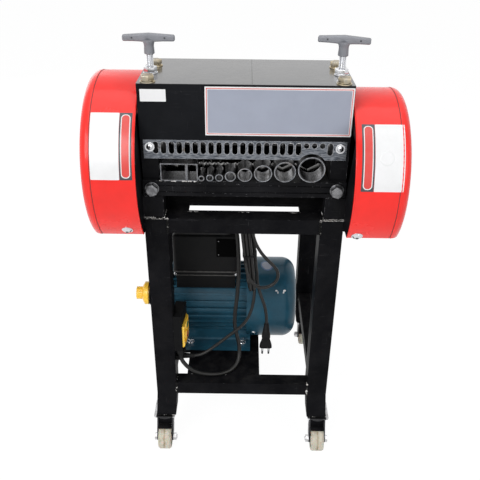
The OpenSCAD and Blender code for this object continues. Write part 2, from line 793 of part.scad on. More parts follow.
module right_handle() color("#232326") t_handle(handle_x, right_turn);
module left_screw() color("#b9bcc0") pressure_screw(-handle_x);
module right_screw() color("#b9bcc0") pressure_screw(handle_x);

module bearing_blocks() color("#8e9296")
    both_sides() difference() {
        block([frame_in, shaft_y - bearing_block / 2, blade_z - bearing_block / 2],
              [frame_out, shaft_y + bearing_block / 2, block_top]);
        bar_x(blade_journal_d / 2 + run_gap, frame_in - past, frame_out + past, shaft_y, blade_z);
        translate([handle_x, shaft_y, block_top - screw_end_len])
            cylinder(d = screw_end_d + 2 * fit_gap, h = screw_end_len + past);
    }

// ---- blades and rollers ----

shaft_end = pair_x + pair_face + 2;
module blade_shaft() color("#a9adb1") {
    bar_x(blade_journal_d / 2, -frame_out + 1, shaft_end, shaft_y, blade_z);
    bar_x(blade_shaft_d / 2, -frame_in + 1, frame_in - 1, shaft_y, blade_z);
}

collar_r = blade_shaft_d / 2 + 6;
collar_w = 8;
// Each blade is a disc with a bevelled rim, clamped between two collars.
module blades() color("#d3d6d9")
    for (s = stations) {
        r = blade_r(s[2]);
        half = blade_t / 2;
        hub = min(s[1] / 2 - 0.5, half + collar_w);
        turned_x(s[0], shaft_y, blade_z) polygon([
            [blade_shaft_d / 2 + fit_gap, -hub], [collar_r, -hub], [collar_r, -half], [r - 4, -half],
            [r, -0.3], [r, 0.3], [r - 4, half], [collar_r, half], [collar_r, hub],
            [blade_shaft_d / 2 + fit_gap, hub]
        ]);
    }

groove_edge = 1.5;
function groove_points(s) =
    let (open = min(s[2] / 2, s[1] / 2 - 2), deep = open * 0.5, half = s[1] / 2 + 0.3)
    [
        [roller_r - groove_edge, s[0] - half], [roller_r, s[0] - half + groove_edge * 0.6],
        [roller_r, s[0] - open], [roller_r - deep, s[0]], [roller_r, s[0] + open],
        [roller_r, s[0] + half - groove_edge * 0.6], [roller_r - groove_edge, s[0] + half]
    ];
module feed_rollers() color("#9a9ea2")
    turned_x(0, shaft_y, roller_z) polygon(concat(
        [[roller_shaft_d / 2 + fit_gap, roller_end], [roller_shaft_d / 2 + fit_gap, -roller_end],
         [roller_r - groove_edge, -roller_end]],
        [for (s = stations) each groove_points(s)],
        [[roller_r - groove_edge, roller_end]]
    ));
roller_shaft_left = main_x + main_face + 2;
module roller_shaft() color("#a9adb1") {
    bar_x(roller_shaft_d / 2, -frame_out, shaft_end, shaft_y, roller_z);
    bar_x(gear_seat_d / 2, -roller_shaft_left, -frame_out + past, shaft_y, roller_z);
}

module upper_gear() color("#6f7478")
    spur_gear(pair_x, pair_face, shaft_y, blade_z, pair_teeth, pair_module,
              270 + 180 / pair_teeth, blade_journal_d / 2 + fit_gap, 0);
module lower_gear() color("#6f7478")
    spur_gear(pair_x, pair_face, shaft_y, roller_z, pair_teeth, pair_module,
              90, roller_shaft_d / 2 + fit_gap, 0);
module main_gear() color("#6f7478")
    spur_gear(-main_x - main_face, main_face, shaft_y, roller_z, main_teeth, drive_module,
              drive_angle, gear_seat_d / 2 + fit_gap, 6);

module bush(x, inner, wall, y, z, flange, flange_side) difference() {
    union() {
        bar_x(inner + wall, x, x + frame_t, y, z);
        bar_x(inner + wall + flange, flange_side > 0 ? x + frame_t : x - 2.5,
              flange_side > 0 ? x + frame_t + 2.5 : x, y, z);
    }
    bar_x(inner + run_gap / 2, x - 2 * 2.5, x + frame_t + 2 * 2.5, y, z);
}
module bushes() color("#b08a48") {
    bush(-frame_out, roller_shaft_d / 2, bush_wall, shaft_y, roller_z, 4, 1);
    bush(frame_in, roller_shaft_d / 2, bush_wall, shaft_y, roller_z, 4, -1);
    bush(-frame_out, pinion_shaft_d / 2, pinion_bush_wall, pinion_y, pinion_z, 4, 1);
}

// ---- pinion shaft, pulleys and belt ----

module pinion_shaft() color("#8b8f93") {
    bar_x(pinion_shaft_d / 2, -main_x - 1, -frame_in + 6, pinion_y, pinion_z);
    translate([0, pinion_y, pinion_z]) plate_yz(-main_x - main_face, main_face)
        gear_outline(pinion_teeth, drive_module, 180 + drive_angle + 180 / pinion_teeth);
    bar_x(pinion_shaft_d / 2 - 2, -main_x - main_face - 2, -main_x - main_face + 1, pinion_y, pinion_z);
    bar_x(pinion_shaft_d / 2 + 4, -frame_in + 2.5 + seat_gap, -frame_in + 8, pinion_y, pinion_z);
}

// Half width of a vee at the distance out from the pitch line.
function vee(out) = 5.5 + out * tan(groove_angle);
module pulley(x, y, z, pitch_r, bore_r, holes) translate([0, y, z]) difference() {
    turned_x(x, 0, 0) polygon([
        [bore_r, -pulley_w / 2], [pitch_r + belt_out, -pulley_w / 2],
        [pitch_r + belt_out, -vee(belt_out) - groove_play],
        [pitch_r - belt_in - 2, -vee(-belt_in - 2) - groove_play],
        [pitch_r - belt_in - 2, vee(-belt_in - 2) + groove_play],
        [pitch_r + belt_out, vee(belt_out) + groove_play],
        [pitch_r + belt_out, pulley_w / 2], [bore_r, pulley_w / 2]
    ]);
    ring = (bore_r + pitch_r - belt_in) / 2 + 1;
    for (i = [0 : 1 : holes - 1]) {
        c = polar(ring, i * 360 / holes);
        bar_x(ring / 3.2, x - pulley_w, x + pulley_w, c[0], c[1]);
    }
}
groove_play = 0.3;
module big_pulley() color("#3a3c3f")
    pulley(belt_x, pinion_y, pinion_z, big_pulley_d / 2, pinion_shaft_d / 2 + fit_gap, 6);
module motor_pulley() color("#3a3c3f")
    pulley(belt_x, motor_y, motor_z, small_pulley_d / 2, motor_shaft_d / 2 + fit_gap, 0);

// The belt: a vee section along two straight runs and round both pulleys.
belt_run = [motor_y - pinion_y, motor_z - pinion_z];
belt_centres = norm(belt_run);
belt_dir = atan2(belt_run[1], belt_run[0]);
belt_lean = asin((big_pulley_d - small_pulley_d) / 2 / belt_centres);
belt_step = 7.5;    // degrees between sections round a pulley
belt_high = belt_dir + 90 - belt_lean;
belt_low = belt_dir - 90 + belt_lean;
// The angles of the sections round a pulley, from one tangent point to the other.
function arc_angles(from, sweep) =
    let (n = ceil(sweep / belt_step)) [for (i = [0 : n]) from + sweep * i / n];
function belt_section(y, z, r, a) = [
    for (c = [[-belt_in, -1], [belt_out, -1], [belt_out, 1], [-belt_in, 1]])
        let (p = polar(r + c[0], a)) [belt_x + c[1] * vee(c[0]), y + p[0], z + p[1]]
];
module belt() color("#1f1f20") {
    sections = concat(
        [for (a = arc_angles(belt_high, 180 + 2 * belt_lean))
            belt_section(pinion_y, pinion_z, big_pulley_d / 2, a)],
        [for (a = arc_angles(belt_low, 180 - 2 * belt_lean))
            belt_section(motor_y, motor_z, small_pulley_d / 2, a)]
    );
    n = len(sections);
    polyhedron([for (s = sections) each s], [
        for (i = [0 : n - 1], k = [0 : 3], half = [0, 1])
            let (
                a = i * 4 + k,
                b = i * 4 + (k + 1) % 4,
                c = (i + 1) % n * 4 + (k + 1) % 4,
                d = (i + 1) % n * 4 + k
            )
            half == 0 ? [a, c, b] : [a, d, c]
    ]);
}

// ---- covers ----

// A drum with a lip at its inner edge, cut off flat at the bottom and open there.
module drum(side, y, z, r, cut) difference() {
    turned_x(0, y, z) scale([1, side]) {
        translate([r - cover_wall, cover_x]) square([cover_wall, drum_depth]);
        translate([r - lip_w, cover_x]) square([lip_w, cover_wall]);
    }
    block([-2 * cover_x, y - 2 * r, cut - 2 * r], [2 * cover_x, y + 2 * r, cut]);
    cover_bolt_hole(side, y, z, r);
}
// A pressed lid with a rounded edge.
module lid(side, y, z, r, cut) {
    edge = cover_x + drum_depth;
    difference() {
        turned_x(0, y, z) scale([1, side]) difference() {
            union() {
                translate([0, edge]) square([r - lid_round, lid_depth]);
                translate([0, edge]) square([r, lid_depth - lid_round]);
                translate([r - lid_round, edge + lid_depth - lid_round]) circle(lid_round);
            }
            translate([-past - lid_round, edge - lid_round]) square([r + 2 * lid_round, lid_round]);
            translate([-past, edge]) square([past, lid_depth + past]);
            translate([0, edge - past]) square([r - lid_round, lid_depth - cover_wall + past]);
            translate([0, edge - past]) square([r - cover_wall, lid_depth - lid_round + past]);
            translate([r - lid_round, edge + lid_depth - lid_round]) circle(lid_round - cover_wall);
        }
        block([-2 * cover_x, y - 2 * r, cut - 2 * r], [2 * cover_x, y + 2 * r, cut]);
    }
}
left_bolt_x = cover_x + 25.5;
right_bolt_x = cover_x + 16.5;
left_bolt_a = 216;
right_bolt_a = 213;
cover_bolt_d = 6;
module at_cover_bolt(side, y, z, r) {
    a = side < 0 ? left_bolt_a : right_bolt_a;
    translate([side * (side < 0 ? left_bolt_x : right_bolt_x), y + r * cos(a), z + r * sin(a)])
        rotate([a - 90, 0, 0]) children();
}
module cover_bolt_hole(side, y, z, r)
    at_cover_bolt(side, y, z, r) translate([0, 0, -3 * cover_wall])
        cylinder(d = cover_bolt_d + 2 * fit_gap, h = 6 * cover_wall);
module left_drum() color("#c01a20") drum(-1, left_cover_y, left_cover_z, left_cover_r, left_cut_z);
module right_drum() color("#c01a20") drum(1, right_cover_y, right_cover_z, right_cover_r, right_cut_z);
module left_lid() color("#b4161c") lid(-1, left_cover_y, left_cover_z, left_cover_r, left_cut_z);
module right_lid() color("#b4161c") lid(1, right_cover_y, right_cover_z, right_cover_r, right_cut_z);

// An angle on the leg's outer face that reaches to a tab inside the cover.
tab_w = 22;
tab_d = 18;
arm_low = stand_h - 21;
arm_high = stand_h - 4;
module cover_bracket(bolt_x, a, y, z, r) {
    tab_r = sqrt(pow(r - cover_wall, 2) - pow(tab_w / 2, 2)) - tab_t / 2 - seat_gap / 2;
    tab_at = [y, z] + polar(tab_r, a);
    along = polar(tab_w / 2, a + 90);
    difference() {
        union() {
            translate([bolt_x - tab_d / 2, y, z]) rotate([a - 90, 0, 0])
                translate([0, -tab_w / 2, tab_r - tab_t / 2]) cube([tab_d, tab_w, tab_t]);
            plate_yz(bolt_x - tab_d / 2 + 1, bracket_t)
                polygon([tab_at - along, tab_at + along, [stand_front + 1, arm_low],
                         [stand_front + 1, arm_high]]);
            block([leg_out, stand_front, arm_low],
                  [bolt_x + tab_d / 2 - 2, stand_front + bracket_t, arm_high]);
            block([leg_out, stand_front, arm_low], [leg_out + bracket_t, stand_front + 24, arm_high]);
        }
        translate([bolt_x, y, z]) rotate([a - 90, 0, 0]) translate([0, 0, tab_r - 2 * tab_t])
            cylinder(d = cover_bolt_d + 2 * fit_gap, h = 4 * tab_t);
    }
}
module cover_brackets() color("#1c1c1e") {
    mirror([1, 0, 0]) cover_bracket(left_bolt_x, left_bolt_a, left_cover_y, left_cover_z, left_cover_r);
    cover_bracket(right_bolt_x, right_bolt_a, right_cover_y, right_cover_z, right_cover_r);
}

module dome_screw(d, h, shank_d, shank) {
    dome_head(d, h);
    translate([0, 0, -shank]) cylinder(d = shank_d, h = shank + h / 4);
}
module dome_screws() color("#d9dcde") {
    at_cover_bolt(-1, left_cover_y, left_cover_z, left_cover_r) dome_screw(16, 5, cover_bolt_d, 12);
    at_cover_bolt(1, right_cover_y, right_cover_z, right_cover_r) dome_screw(16, 5, cover_bolt_d, 12);
    for (x = [-comb_screw_x, comb_screw_x])
        translate([x, head_y, comb_screw_z]) rotate([90, 0, 0])
            dome_screw(12, 3.5, comb_screw_d, sheet_t - 0.1);
}

// ---- motor ----

foot_t = 10;
foot_half = 79;
foot_bolt_y = 62;
foot_left = motor_left + 20;
foot_right = motor_right - 1;
foot_bolt_x = [foot_left + 16, foot_right - 17];
fin_t = 3;
cowl_seat = 6;
flange_t = 10;
rotor_bore = motor_shaft_d / 2 + run_gap;
module finned_outline() {
    circle(barrel_r, $fn = 96);
    for (i = [0 : fin_count - 1]) rotate(i * 360 / fin_count)
        translate([0, -fin_t / 2]) square([fin_r, fin_t]);
}
foot_web = foot_bolt_y - 8;
module foot_outline() polygon([
    [-foot_half, -shaft_height], [-foot_half + 40, -shaft_height], [-30, -58], [-foot_web, -40],
    [-foot_web + 2, -shaft_height + foot_t + 4], [-foot_web, -shaft_height + foot_t],
    [-foot_half, -shaft_height + foot_t]
]);
module motor_body() color("#3f6fb0") difference() {
    translate([0, motor_y, motor_z]) union() {
        plate_yz(motor_left, barrel_len - flange_t) finned_outline();
        plate_yz(foot_left, foot_right - foot_left) {
            foot_outline();
            mirror([1, 0]) foot_outline();
        }
        bar_x(cowl_r - cover_wall - run_gap, motor_right - flange_t, motor_right + cowl_seat, 0, 0);
    }
    bar_x(rotor_bore, motor_left - past, motor_right + cowl_seat + past, motor_y, motor_z);
    for (x = foot_bolt_x, y = [-foot_bolt_y, foot_bolt_y])
        translate([x, motor_y + y, foot_z - past])
            cylinder(d = foot_bolt_d + 2 * fit_gap, h = foot_t + 2 * past);
}
module end_shield() color("#3f6fb0")
    turned_x(motor_left - shield_t, motor_y, motor_z) polygon([
        [rotor_bore, 0], [30, 0], [34, 4], [fin_r - 6, 5], [fin_r + 1, 7], [fin_r + 1, shield_t],
        [rotor_bore, shield_t]
    ]);
cowl_round = 28;
grille_slots = 16;
module cowl_solid(r, len, round) {
    square([r - round, len]);
    square([r, len - round]);
    translate([r - round, len - round]) circle(round, $fn = 96);
}
module fan_cover() color("#3f6fb0") difference() {
    turned_x(motor_right, motor_y, motor_z) intersection() {
        difference() {
            cowl_solid(cowl_r, cowl_len, cowl_round);
            translate([0, -past])
                cowl_solid(cowl_r - cover_wall, cowl_len - cover_wall + past, cowl_round - cover_wall);
        }
        square([cowl_r + past, cowl_len + past]);
    }
    for (i = [0 : grille_slots - 1]) translate([motor_right + cowl_len - 4 * cover_wall, motor_y, motor_z])
        rotate([i * 360 / grille_slots, 0, 0]) for (r = [[20, 34], [39, 54]])
            block([0, r[0], -2.2], [5 * cover_wall, r[1], 2.2]);
}

box_round = 7;
box_wall = 3;
// A block with round upright edges and a rounded top, open to a flat bottom.
module domed_block(low, high, r) hull()
    for (x = [low[0] + r, high[0] - r], y = [low[1] + r, high[1] - r]) {
        translate([x, y, low[2]]) cylinder(r = r, h = r, $fn = facets);
        translate([x, y, high[2] - r]) sphere(r, $fn = facets);
    }
module terminal_base() color("#1f2022") difference() {
    union() {
        plate_yz(box_left + 5, box_right - box_left - 10) polygon([
            [box_front, box_seam - 6], [box_front + 6, motor_z + 50], [box_back - 6, motor_z + 50],
            [box_back, box_seam - 6]
        ]);
        translate([(box_left + box_right) / 2, (box_front + box_back) / 2, box_seam - 6]) linear_extrude(6)
            rounded_rect(box_right - box_left, box_back - box_front, box_round);
    }
    bar_x(fin_r + 0.2, box_left - past, box_right + past, motor_y, motor_z);
}
panel_w = 40;
panel_h = 41;
panel_in = 3;
panel_t = 1.5;
module terminal_lid() color("#1f2022") {
    difference() {
        domed_block([box_left, box_front, box_seam], [box_right, box_back, box_top], box_round);
        block([box_left + box_round, box_front + box_wall, box_seam - past],
              [box_right - box_round, box_back - box_wall, box_top - box_round]);
    }
    block([box_right - panel_in - panel_w, box_front - panel_t, box_top - box_round + 1 - panel_h],
          [box_right - panel_in, box_front + box_wall, box_top - box_round + 1]);
}

fan_r = 60;
fan_blades = 7;
rotor_left = belt_x - pulley_w / 2 - 2;
fan_hub_left = motor_right + 20;
fan_hub_w = 28;
fan_hub_r = 24;
fan_blade_t = 3;
fan_inset = 1;
module rotor() color("#9fa3a7") {
    bar_x(motor_shaft_d / 2, rotor_left, fan_hub_left + fan_hub_w + 2, motor_y, motor_z);
    translate([0, motor_y, motor_z]) {
        bar_x(fan_hub_r, fan_hub_left, fan_hub_left + fan_hub_w, 0, 0);
        for (i = [0 : fan_blades - 1]) rotate([i * 360 / fan_blades, 0, 0])
            block([fan_hub_left + fan_inset, fan_hub_r - 4, -fan_blade_t / 2],
                [fan_hub_left + fan_hub_w - fan_inset, fan_r, fan_blade_t / 2]);
    }
}

// ---- switches ----

module on_switch_face()
    translate([-leg_in + switch_out, stand_front, 0]) rotate([0, 0, -switch_yaw]) children();
button_y = 30;
green_z = switch_plate_z + 36;
red_z = switch_plate_z + 13;
button_in = 7;
button_out = 4;
module button_bores(extra) for (z = [green_z, red_z])
    translate([-button_in - button_travel - 0.5, button_y, z]) rotate([0, 90, 0])
        cylinder(d = button_d + 2 * run_gap, h = button_in + button_travel + 0.5 + extra);
module switch_box() color("#35373a") difference() {
    translate([0, 0, switch_z]) linear_extrude(switch_h) polygon([
        [-leg_in, stand_front], [-leg_in + switch_out, stand_front],
        [-leg_in + switch_out + switch_d * tan(switch_yaw), stand_front + switch_d],
        [-leg_in, stand_front + switch_d]
    ]);
    on_switch_face() button_bores(past);
}
knob_stem_r = 4;
bezel_t = 3.8;
module switch_bezels() color("#d9c522") {
    on_switch_face() difference() {
        block([0, 2, switch_plate_z], [switch_plate_t, 47, switch_plate_z + switch_plate_h]);
        for (z = [green_z, red_z]) translate([-past, button_y, z]) rotate([0, 90, 0])
            cylinder(d = button_d + 2 * run_gap, h = switch_plate_t + 2 * past);
    }
    difference() {
        bar_x(knob_d / 2 - 3, -leg_out - bezel_t, -leg_out, knob_y, knob_z);
        bar_x(knob_stem_r + run_gap, -leg_out - bezel_t - past, -leg_out + past, knob_y, knob_z);
    }
}
module push_button(z) on_switch_face()
    translate([-button_in, button_y, z]) rotate([0, 90, 0]) {
        cylinder(d = button_d, h = button_in + switch_plate_t + button_out - 1);
        translate([0, 0, button_in + switch_plate_t + button_out - 1])
            cylinder(d1 = button_d, d2 = button_d - 2, h = 1);
    }
module green_button() color("#2f8f46") push_button(green_z);
module red_button() color("#c8281e") push_button(red_z);

knob_flutes = 10;
skirt_t = 11;
hub_out = 12;
knob_hub_d = 24;
module selector_knob() color("#e0c61c")
    translate([-leg_out - bezel_t - seat_gap, knob_y, knob_z]) rotate([0, -90, 0]) {
    difference() {
        union() {
            cylinder(d = knob_d, h = skirt_t - 4);
            translate([0, 0, skirt_t - 4]) cylinder(d1 = knob_d, d2 = knob_hub_d + 6, h = 4);
            translate([0, 0, skirt_t]) cylinder(d = knob_hub_d, h = hub_out);
        }
        for (i = [0 : knob_flutes - 1]) rotate([0, 0, i * 360 / knob_flutes])
            translate([knob_hub_d / 2 + 1.2, 0, skirt_t + 1]) cylinder(r = 2.4, h = hub_out + past);
    }
    translate([0, 0, -bezel_t - seat_gap - tube_wall - 4])
        cylinder(r = knob_stem_r, h = bezel_t + tube_wall + 6);
}

// ---- cords ----

relief_nut = 8;
// A compression gland: a hexagon, then a tapered boot that ends on the cable.
module gland(cable_d, boot, len) difference() {
    union() {
        hex(boot + 4, relief_nut);
        cylinder(d1 = boot, d2 = cable_d + 2.5, h = len);
    }
    translate([0, 0, len - gland_grip]) cylinder(d = cable_d + 2 * fit_gap, h = gland_grip + past);
}
module glands() color("#2a2b2d") {
    translate([motor_route[0][0], motor_route[0][1], box_top]) gland(motor_cable_d, 16, box_gland_h);
    translate([-leg_in + 11, stand_front + 9.5, switch_z]) rotate([180, 0, 0])
        gland(motor_cable_d, 14, 22);
    translate([-leg_in, stand_front + 30, mains_gland_z]) rotate([0, 90, 0])
        gland(mains_cord_d, 13, 36);
}

sides = 8;
function unit(v) = v / norm(v);
function tangent(p, i) = unit(p[min(i + 1, len(p) - 1)] - p[max(i - 1, 0)]);
// Normals carried along the route without twist.
function normals(p, i, n) =
    i >= len(p) ? [] :
    let (t = tangent(p, i), m = unit(n - (n * t) * t)) concat([m], normals(p, i + 1, m));
function ring(p, t, n, r) =
    [for (k = [0 : sides - 1]) p + r * cos(k * 360 / sides) * n + r * sin(k * 360 / sides) * cross(t, n)];
module cord_tube(p, d, first_normal) {
    n = normals(p, 0, first_normal);
    points = [for (i = [0 : len(p) - 1]) each ring(p[i], tangent(p, i), n[i], d / 2)];
    last = (len(p) - 1) * sides;
    polyhedron(points, concat(
        [[for (k = [sides - 1 : -1 : 0]) k]],
        [for (i = [0 : len(p) - 2], k = [0 : sides - 1])
            let (a = i * sides + k, b = i * sides + (k + 1) % sides) [a, b, b + sides]],
        [for (i = [0 : len(p) - 2], k = [0 : sides - 1])
            let (a = i * sides + k, b = i * sides + (k + 1) % sides) [a, b + sides, a + sides]],
        [[for (k = [0 : sides - 1]) last + k]]
    ));
}
module motor_cable() color("#1d1d1f") cord_tube(motor_route, motor_cable_d, [1, 0, 0]);
module mains_cord() color("#1d1d1f") {
    cord_tube(mains_route, mains_cord_d, [0, 1, 0]);
    cord_tube(loop_route, mains_cord_d, [0, 1, 0]);
    cord_tube(plug_route, mains_cord_d, [0, 1, 0]);
}
// The hank: a round fold at each end, front and back runs between them that
// are tied at the middle, and the clip that hangs it from the front top rail.
module cord_hank() color("#1d1d1f") {
    fold = hank_w / 2;
    waist = hank_waist / 2;
    low_centre = hank_low - hank_high + fold;
    translate([hank_x, deck_front + fold, hank_high]) rotate([0, -hank_lean, 0])
        plate_yz(-hank_t / 2, hank_t) polygon(concat(
            [for (a = [180 : hank_facet : 360]) polar(fold, a) + [0, low_centre]],
            [[waist, low_centre + hank_ease], [waist, -fold - hank_ease]],
            [for (a = [0 : hank_facet : 180]) polar(fold, a) + [0, -fold]],
            [[-waist, -fold - hank_ease], [-waist, low_centre + hank_ease]]
        ));
    block([hank_x - hook_w / 2, deck_front, hank_high - 1 - hook_h],
          [hank_x + hook_w / 2, deck_front + 8, hank_high - 1]);
}
plug_len = 40;
pin_len = 18;
module plug() color("#1d1d1f") translate([plug_x, plug_y, plug_z]) {
    translate([0, 0, -20]) cylinder(d1 = 11, d2 = mains_cord_d + 2, h = 20);
    intersection() {
        plate_xz(-20, 40) polygon([[-5, -16], [5, -16], [9.5, -26], [10.5, -20 - plug_len + 4],
                                   [9, -20 - plug_len], [-9, -20 - plug_len],
                                   [-10.5, -20 - plug_len + 4], [-9.5, -26]]);
        plate_yz(-20, 40) polygon([[-5, -16], [5, -16], [8, -28], [8, -20 - plug_len], [-8, -20 - plug_len],
                                   [-8, -28]]);
    }
    for (s = [-1, 1])
        block([s * pin_gap / 2 - 0.8, -3.2, -20 - plug_len - pin_len],
              [s * pin_gap / 2 + 0.8, 3.2, -20 - plug_len + 2]);
}

legs();
top_rails();
low_rails();
deck_plates();
caster_plates();
left_fork();
right_fork();
rear_forks();
front_left_wheel();
front_right_wheel();
rear_left_wheel();
rear_right_wheel();
head_posts();
left_side_frame();
right_side_frame();
top_plate();
head_covers();
comb_plate();
tie_bars();
feed_guides();
frame_bolts();
left_handle();
left_screw();
right_handle();
right_screw();
bearing_blocks();
blade_shaft();
blades();
upper_gear();
roller_shaft();
feed_rollers();
lower_gear();
main_gear();
bushes();
pinion_shaft();
big_pulley();
left_drum();
left_lid();
right_drum();
right_lid();
cover_brackets();
dome_screws();
motor_body();
end_shield();
fan_cover();
terminal_base();
terminal_lid();
rotor();
motor_pulley();
belt();
switch_box();
switch_bezels();
green_button();
red_button();
selector_knob();
glands();
motor_cable();
mains_cord();
cord_hank();
plug();
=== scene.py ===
import json
import math

import bmesh
import bpy
from mathutils import Matrix, Vector


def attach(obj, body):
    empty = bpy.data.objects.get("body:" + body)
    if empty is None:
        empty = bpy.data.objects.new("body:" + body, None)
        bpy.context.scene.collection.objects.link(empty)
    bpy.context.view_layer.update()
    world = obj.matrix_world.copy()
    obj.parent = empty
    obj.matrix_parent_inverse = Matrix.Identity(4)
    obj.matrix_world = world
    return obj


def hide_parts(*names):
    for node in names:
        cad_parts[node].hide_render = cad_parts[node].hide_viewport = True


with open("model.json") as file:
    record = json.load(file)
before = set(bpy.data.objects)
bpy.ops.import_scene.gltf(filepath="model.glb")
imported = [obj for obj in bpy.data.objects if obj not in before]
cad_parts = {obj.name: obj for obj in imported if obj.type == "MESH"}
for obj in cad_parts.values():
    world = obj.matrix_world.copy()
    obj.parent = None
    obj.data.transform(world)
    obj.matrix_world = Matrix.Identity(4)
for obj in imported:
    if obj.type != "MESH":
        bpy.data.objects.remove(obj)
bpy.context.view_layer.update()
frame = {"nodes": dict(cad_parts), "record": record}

bl_info = {
    "name": "Cable stripper dressing",
    "version": (1, 0, 0),
    "blender": (4, 5, 0),
    "location": "3D View > Sidebar > Cable stripper",
    "description": "Dresses the cable stripper: paint and metal finishes, cords, labels, welds and fasteners",
    "category": "Object",
}

MM = 0.001

# Places that the pieces share with the solids, in millimetres.
HEAD_Y = -148.5
STAND_FRONT = -154.5
STAND_BACK = 209.5
LEG_IN = 132.0
LEG_OUT = 172.0
STAND_TOP = 545.0
LOW_RAIL_TOP = 170.0
SHAFT_Y = -86.5
PLATE_TOP = 777.0
HANDLE_X = 155.0
MOTOR_Y = 21.5
MOTOR_Z = 264.0
FAN_COVER_R = 85.5
LEFT_COVER = {"y": -53.5, "z": 620.0, "r": 148.5, "cut": 517.0}
RIGHT_COVER = {"y": -76.5, "z": 612.0, "r": 138.0, "cut": 531.0}
FAN_COVER = {"y": MOTOR_Y, "z": MOTOR_Z, "r": FAN_COVER_R}
CASTER_X = 160.34
FRONT_LEG_Y = -134.5
REAR_LEG_Y = 189.5
SWIVEL_OFFSET = 27.0
WHEEL_Z = 25.0
BOX_X = -76.25
BOX_Y = 18.5
TABLE_TOP = 616.2
MOUTH_Y = -154.5
TUBES = (
    (110.0, 45.0), (66.5, 36.0), (30.5, 30.0), (0.5, 24.0), (-23.5, 18.0), (-42.0, 13.0), (-57.5, 12.0),
    (-71.5, 10.0),
)
CHANNELS = ((-117.5, 43.0), (-86.5, 18.0))
CHANNEL_H = 31.0
FIRST_SLOT_X, SLOT_PITCH, SLOT_W = -145.2, 12.9, 8.7
SLOT_COUNT = 23
ROUND_SLOTS = (19, 20, 21)

# Edges of the plain solids that are rounded, in metres.
SOFT_EDGES = {"legs": 0.0012, "top_rails": 0.001, "low_rails": 0.001, "tie_bars": 0.001}


# ---- properties ----


class CordSizes(bpy.types.PropertyGroup):
    """Sizes of the mains cord and the motor cable"""

    mains_diameter: bpy.props.FloatProperty(
        name="Mains cord", description="Diameter of the mains cord", default=0.0062, min=0.005, max=0.009,
        unit="LENGTH", subtype="DISTANCE",
    )
    motor_diameter: bpy.props.FloatProperty(
        name="Motor cable", description="Diameter of the cable from the switch to the motor", default=0.008,
        min=0.006, max=0.01, unit="LENGTH", subtype="DISTANCE",
    )
    fold_radius: bpy.props.FloatProperty(
        name="Hank fold", description="Radius of the folds at both ends of the hank", default=0.0191,
        min=0.0186, max=0.02, unit="LENGTH", subtype="DISTANCE",
    )


def colour_property(name, description, default):
    return bpy.props.FloatVectorProperty(
        name=name, description=description, default=default, size=3, min=0.0, max=1.0, subtype="COLOR"
    )


class PaintColours(bpy.types.PropertyGroup):
    """Colours of the painted and moulded pieces"""

    frame_black: colour_property("Frame black", "Brushed black paint of the stand and the head",
                                 (0.005, 0.005, 0.006))
    cover_red: colour_property("Cover red", "Gloss paint of the two round covers", (0.86, 0.020, 0.014))
    motor_blue: colour_property("Motor blue", "Enamel of the motor", (0.014, 0.070, 0.110))
    switch_yellow: colour_property("Switch yellow", "Moulded plate and knob of the switches",
                                   (0.98, 0.60, 0.05))
    label_pale: colour_property("Label", "Bare stock of the front label", (0.31, 0.335, 0.41))
    handle_grey: colour_property("Handle grey", "Paint of the T-handles", (0.20, 0.205, 0.225))


class TrimSizes(bpy.types.PropertyGroup):
    """Sizes of the welds, labels and fasteners"""

    weld_width: bpy.props.FloatProperty(
        name="Weld width", description="Width of a weld bead on the stand", default=0.0046, min=0.003,
        max=0.008, unit="LENGTH", subtype="DISTANCE",
    )
    label_thickness: bpy.props.FloatProperty(
        name="Label thickness", description="Thickness of the labels", default=0.0003, min=0.0002, max=0.001,
        unit="LENGTH", subtype="DISTANCE",
    )
    thread_pitch: bpy.props.FloatProperty(
        name="Thread pitch", description="Pitch of the thread on the pressure screws", default=0.00175,
        min=0.001, max=0.0025, unit="LENGTH", subtype="DISTANCE",
    )


# ---- nodes of the materials ----


def put(tree, kind, inputs=None, **settings):
    """Places one shader node, with its settings, and its inputs linked or set."""
    node = tree.nodes.new(kind)
    for name, value in settings.items():
        setattr(node, name, value)
    for name, value in (inputs or {}).items():
        socket = node.inputs[name]
        if isinstance(value, bpy.types.NodeSocket):
            tree.links.new(value, socket)
        else:
            socket.default_value = value
    return node


def sums(tree, operation, first, second=0.0, clamp=False):
    """A Math node's result."""
    return put(tree, "ShaderNodeMath", {0: first, 1: second}, operation=operation, use_clamp=clamp).outputs[0]


def ramp(tree, value, low, high, start=0.0, end=1.0):
    """Maps low..high to start..end, held at both ends."""
    inputs = {"Value": value, "From Min": low, "From Max": high, "To Min": start, "To Max": end}
    return put(tree, "ShaderNodeMapRange", inputs).outputs[0]


def blend_colour(tree, mask, first, second, how="MIX"):
    """Mixes two colours by a mask."""
    node = put(tree, "ShaderNodeMix", data_type="RGBA", blend_type=how)
    for socket, value in ((node.inputs[0], mask), (node.inputs[6], first), (node.inputs[7], second)):
        if isinstance(value, bpy.types.NodeSocket):
            tree.links.new(value, socket)
        elif socket.type == "RGBA":
            socket.default_value = tuple(value)[:3] + (1.0,)
        else:
            socket.default_value = value
    return node.outputs[2]


def place_of(tree, scale=(1.0, 1.0, 1.0)):
    """Object coordinates, stretched."""
    coords = put(tree, "ShaderNodeTexCoord").outputs["Object"]
    return put(tree, "ShaderNodeMapping", {"Vector": coords, "Scale": scale}).outputs[0]


def noise(tree, vector, scale, detail=3.0, rough=0.5):
    """A noise texture's value."""
    return put(
        tree, "ShaderNodeTexNoise", {"Vector": vector, "Scale": scale, "Detail": detail, "Roughness": rough}
    ).outputs[0]


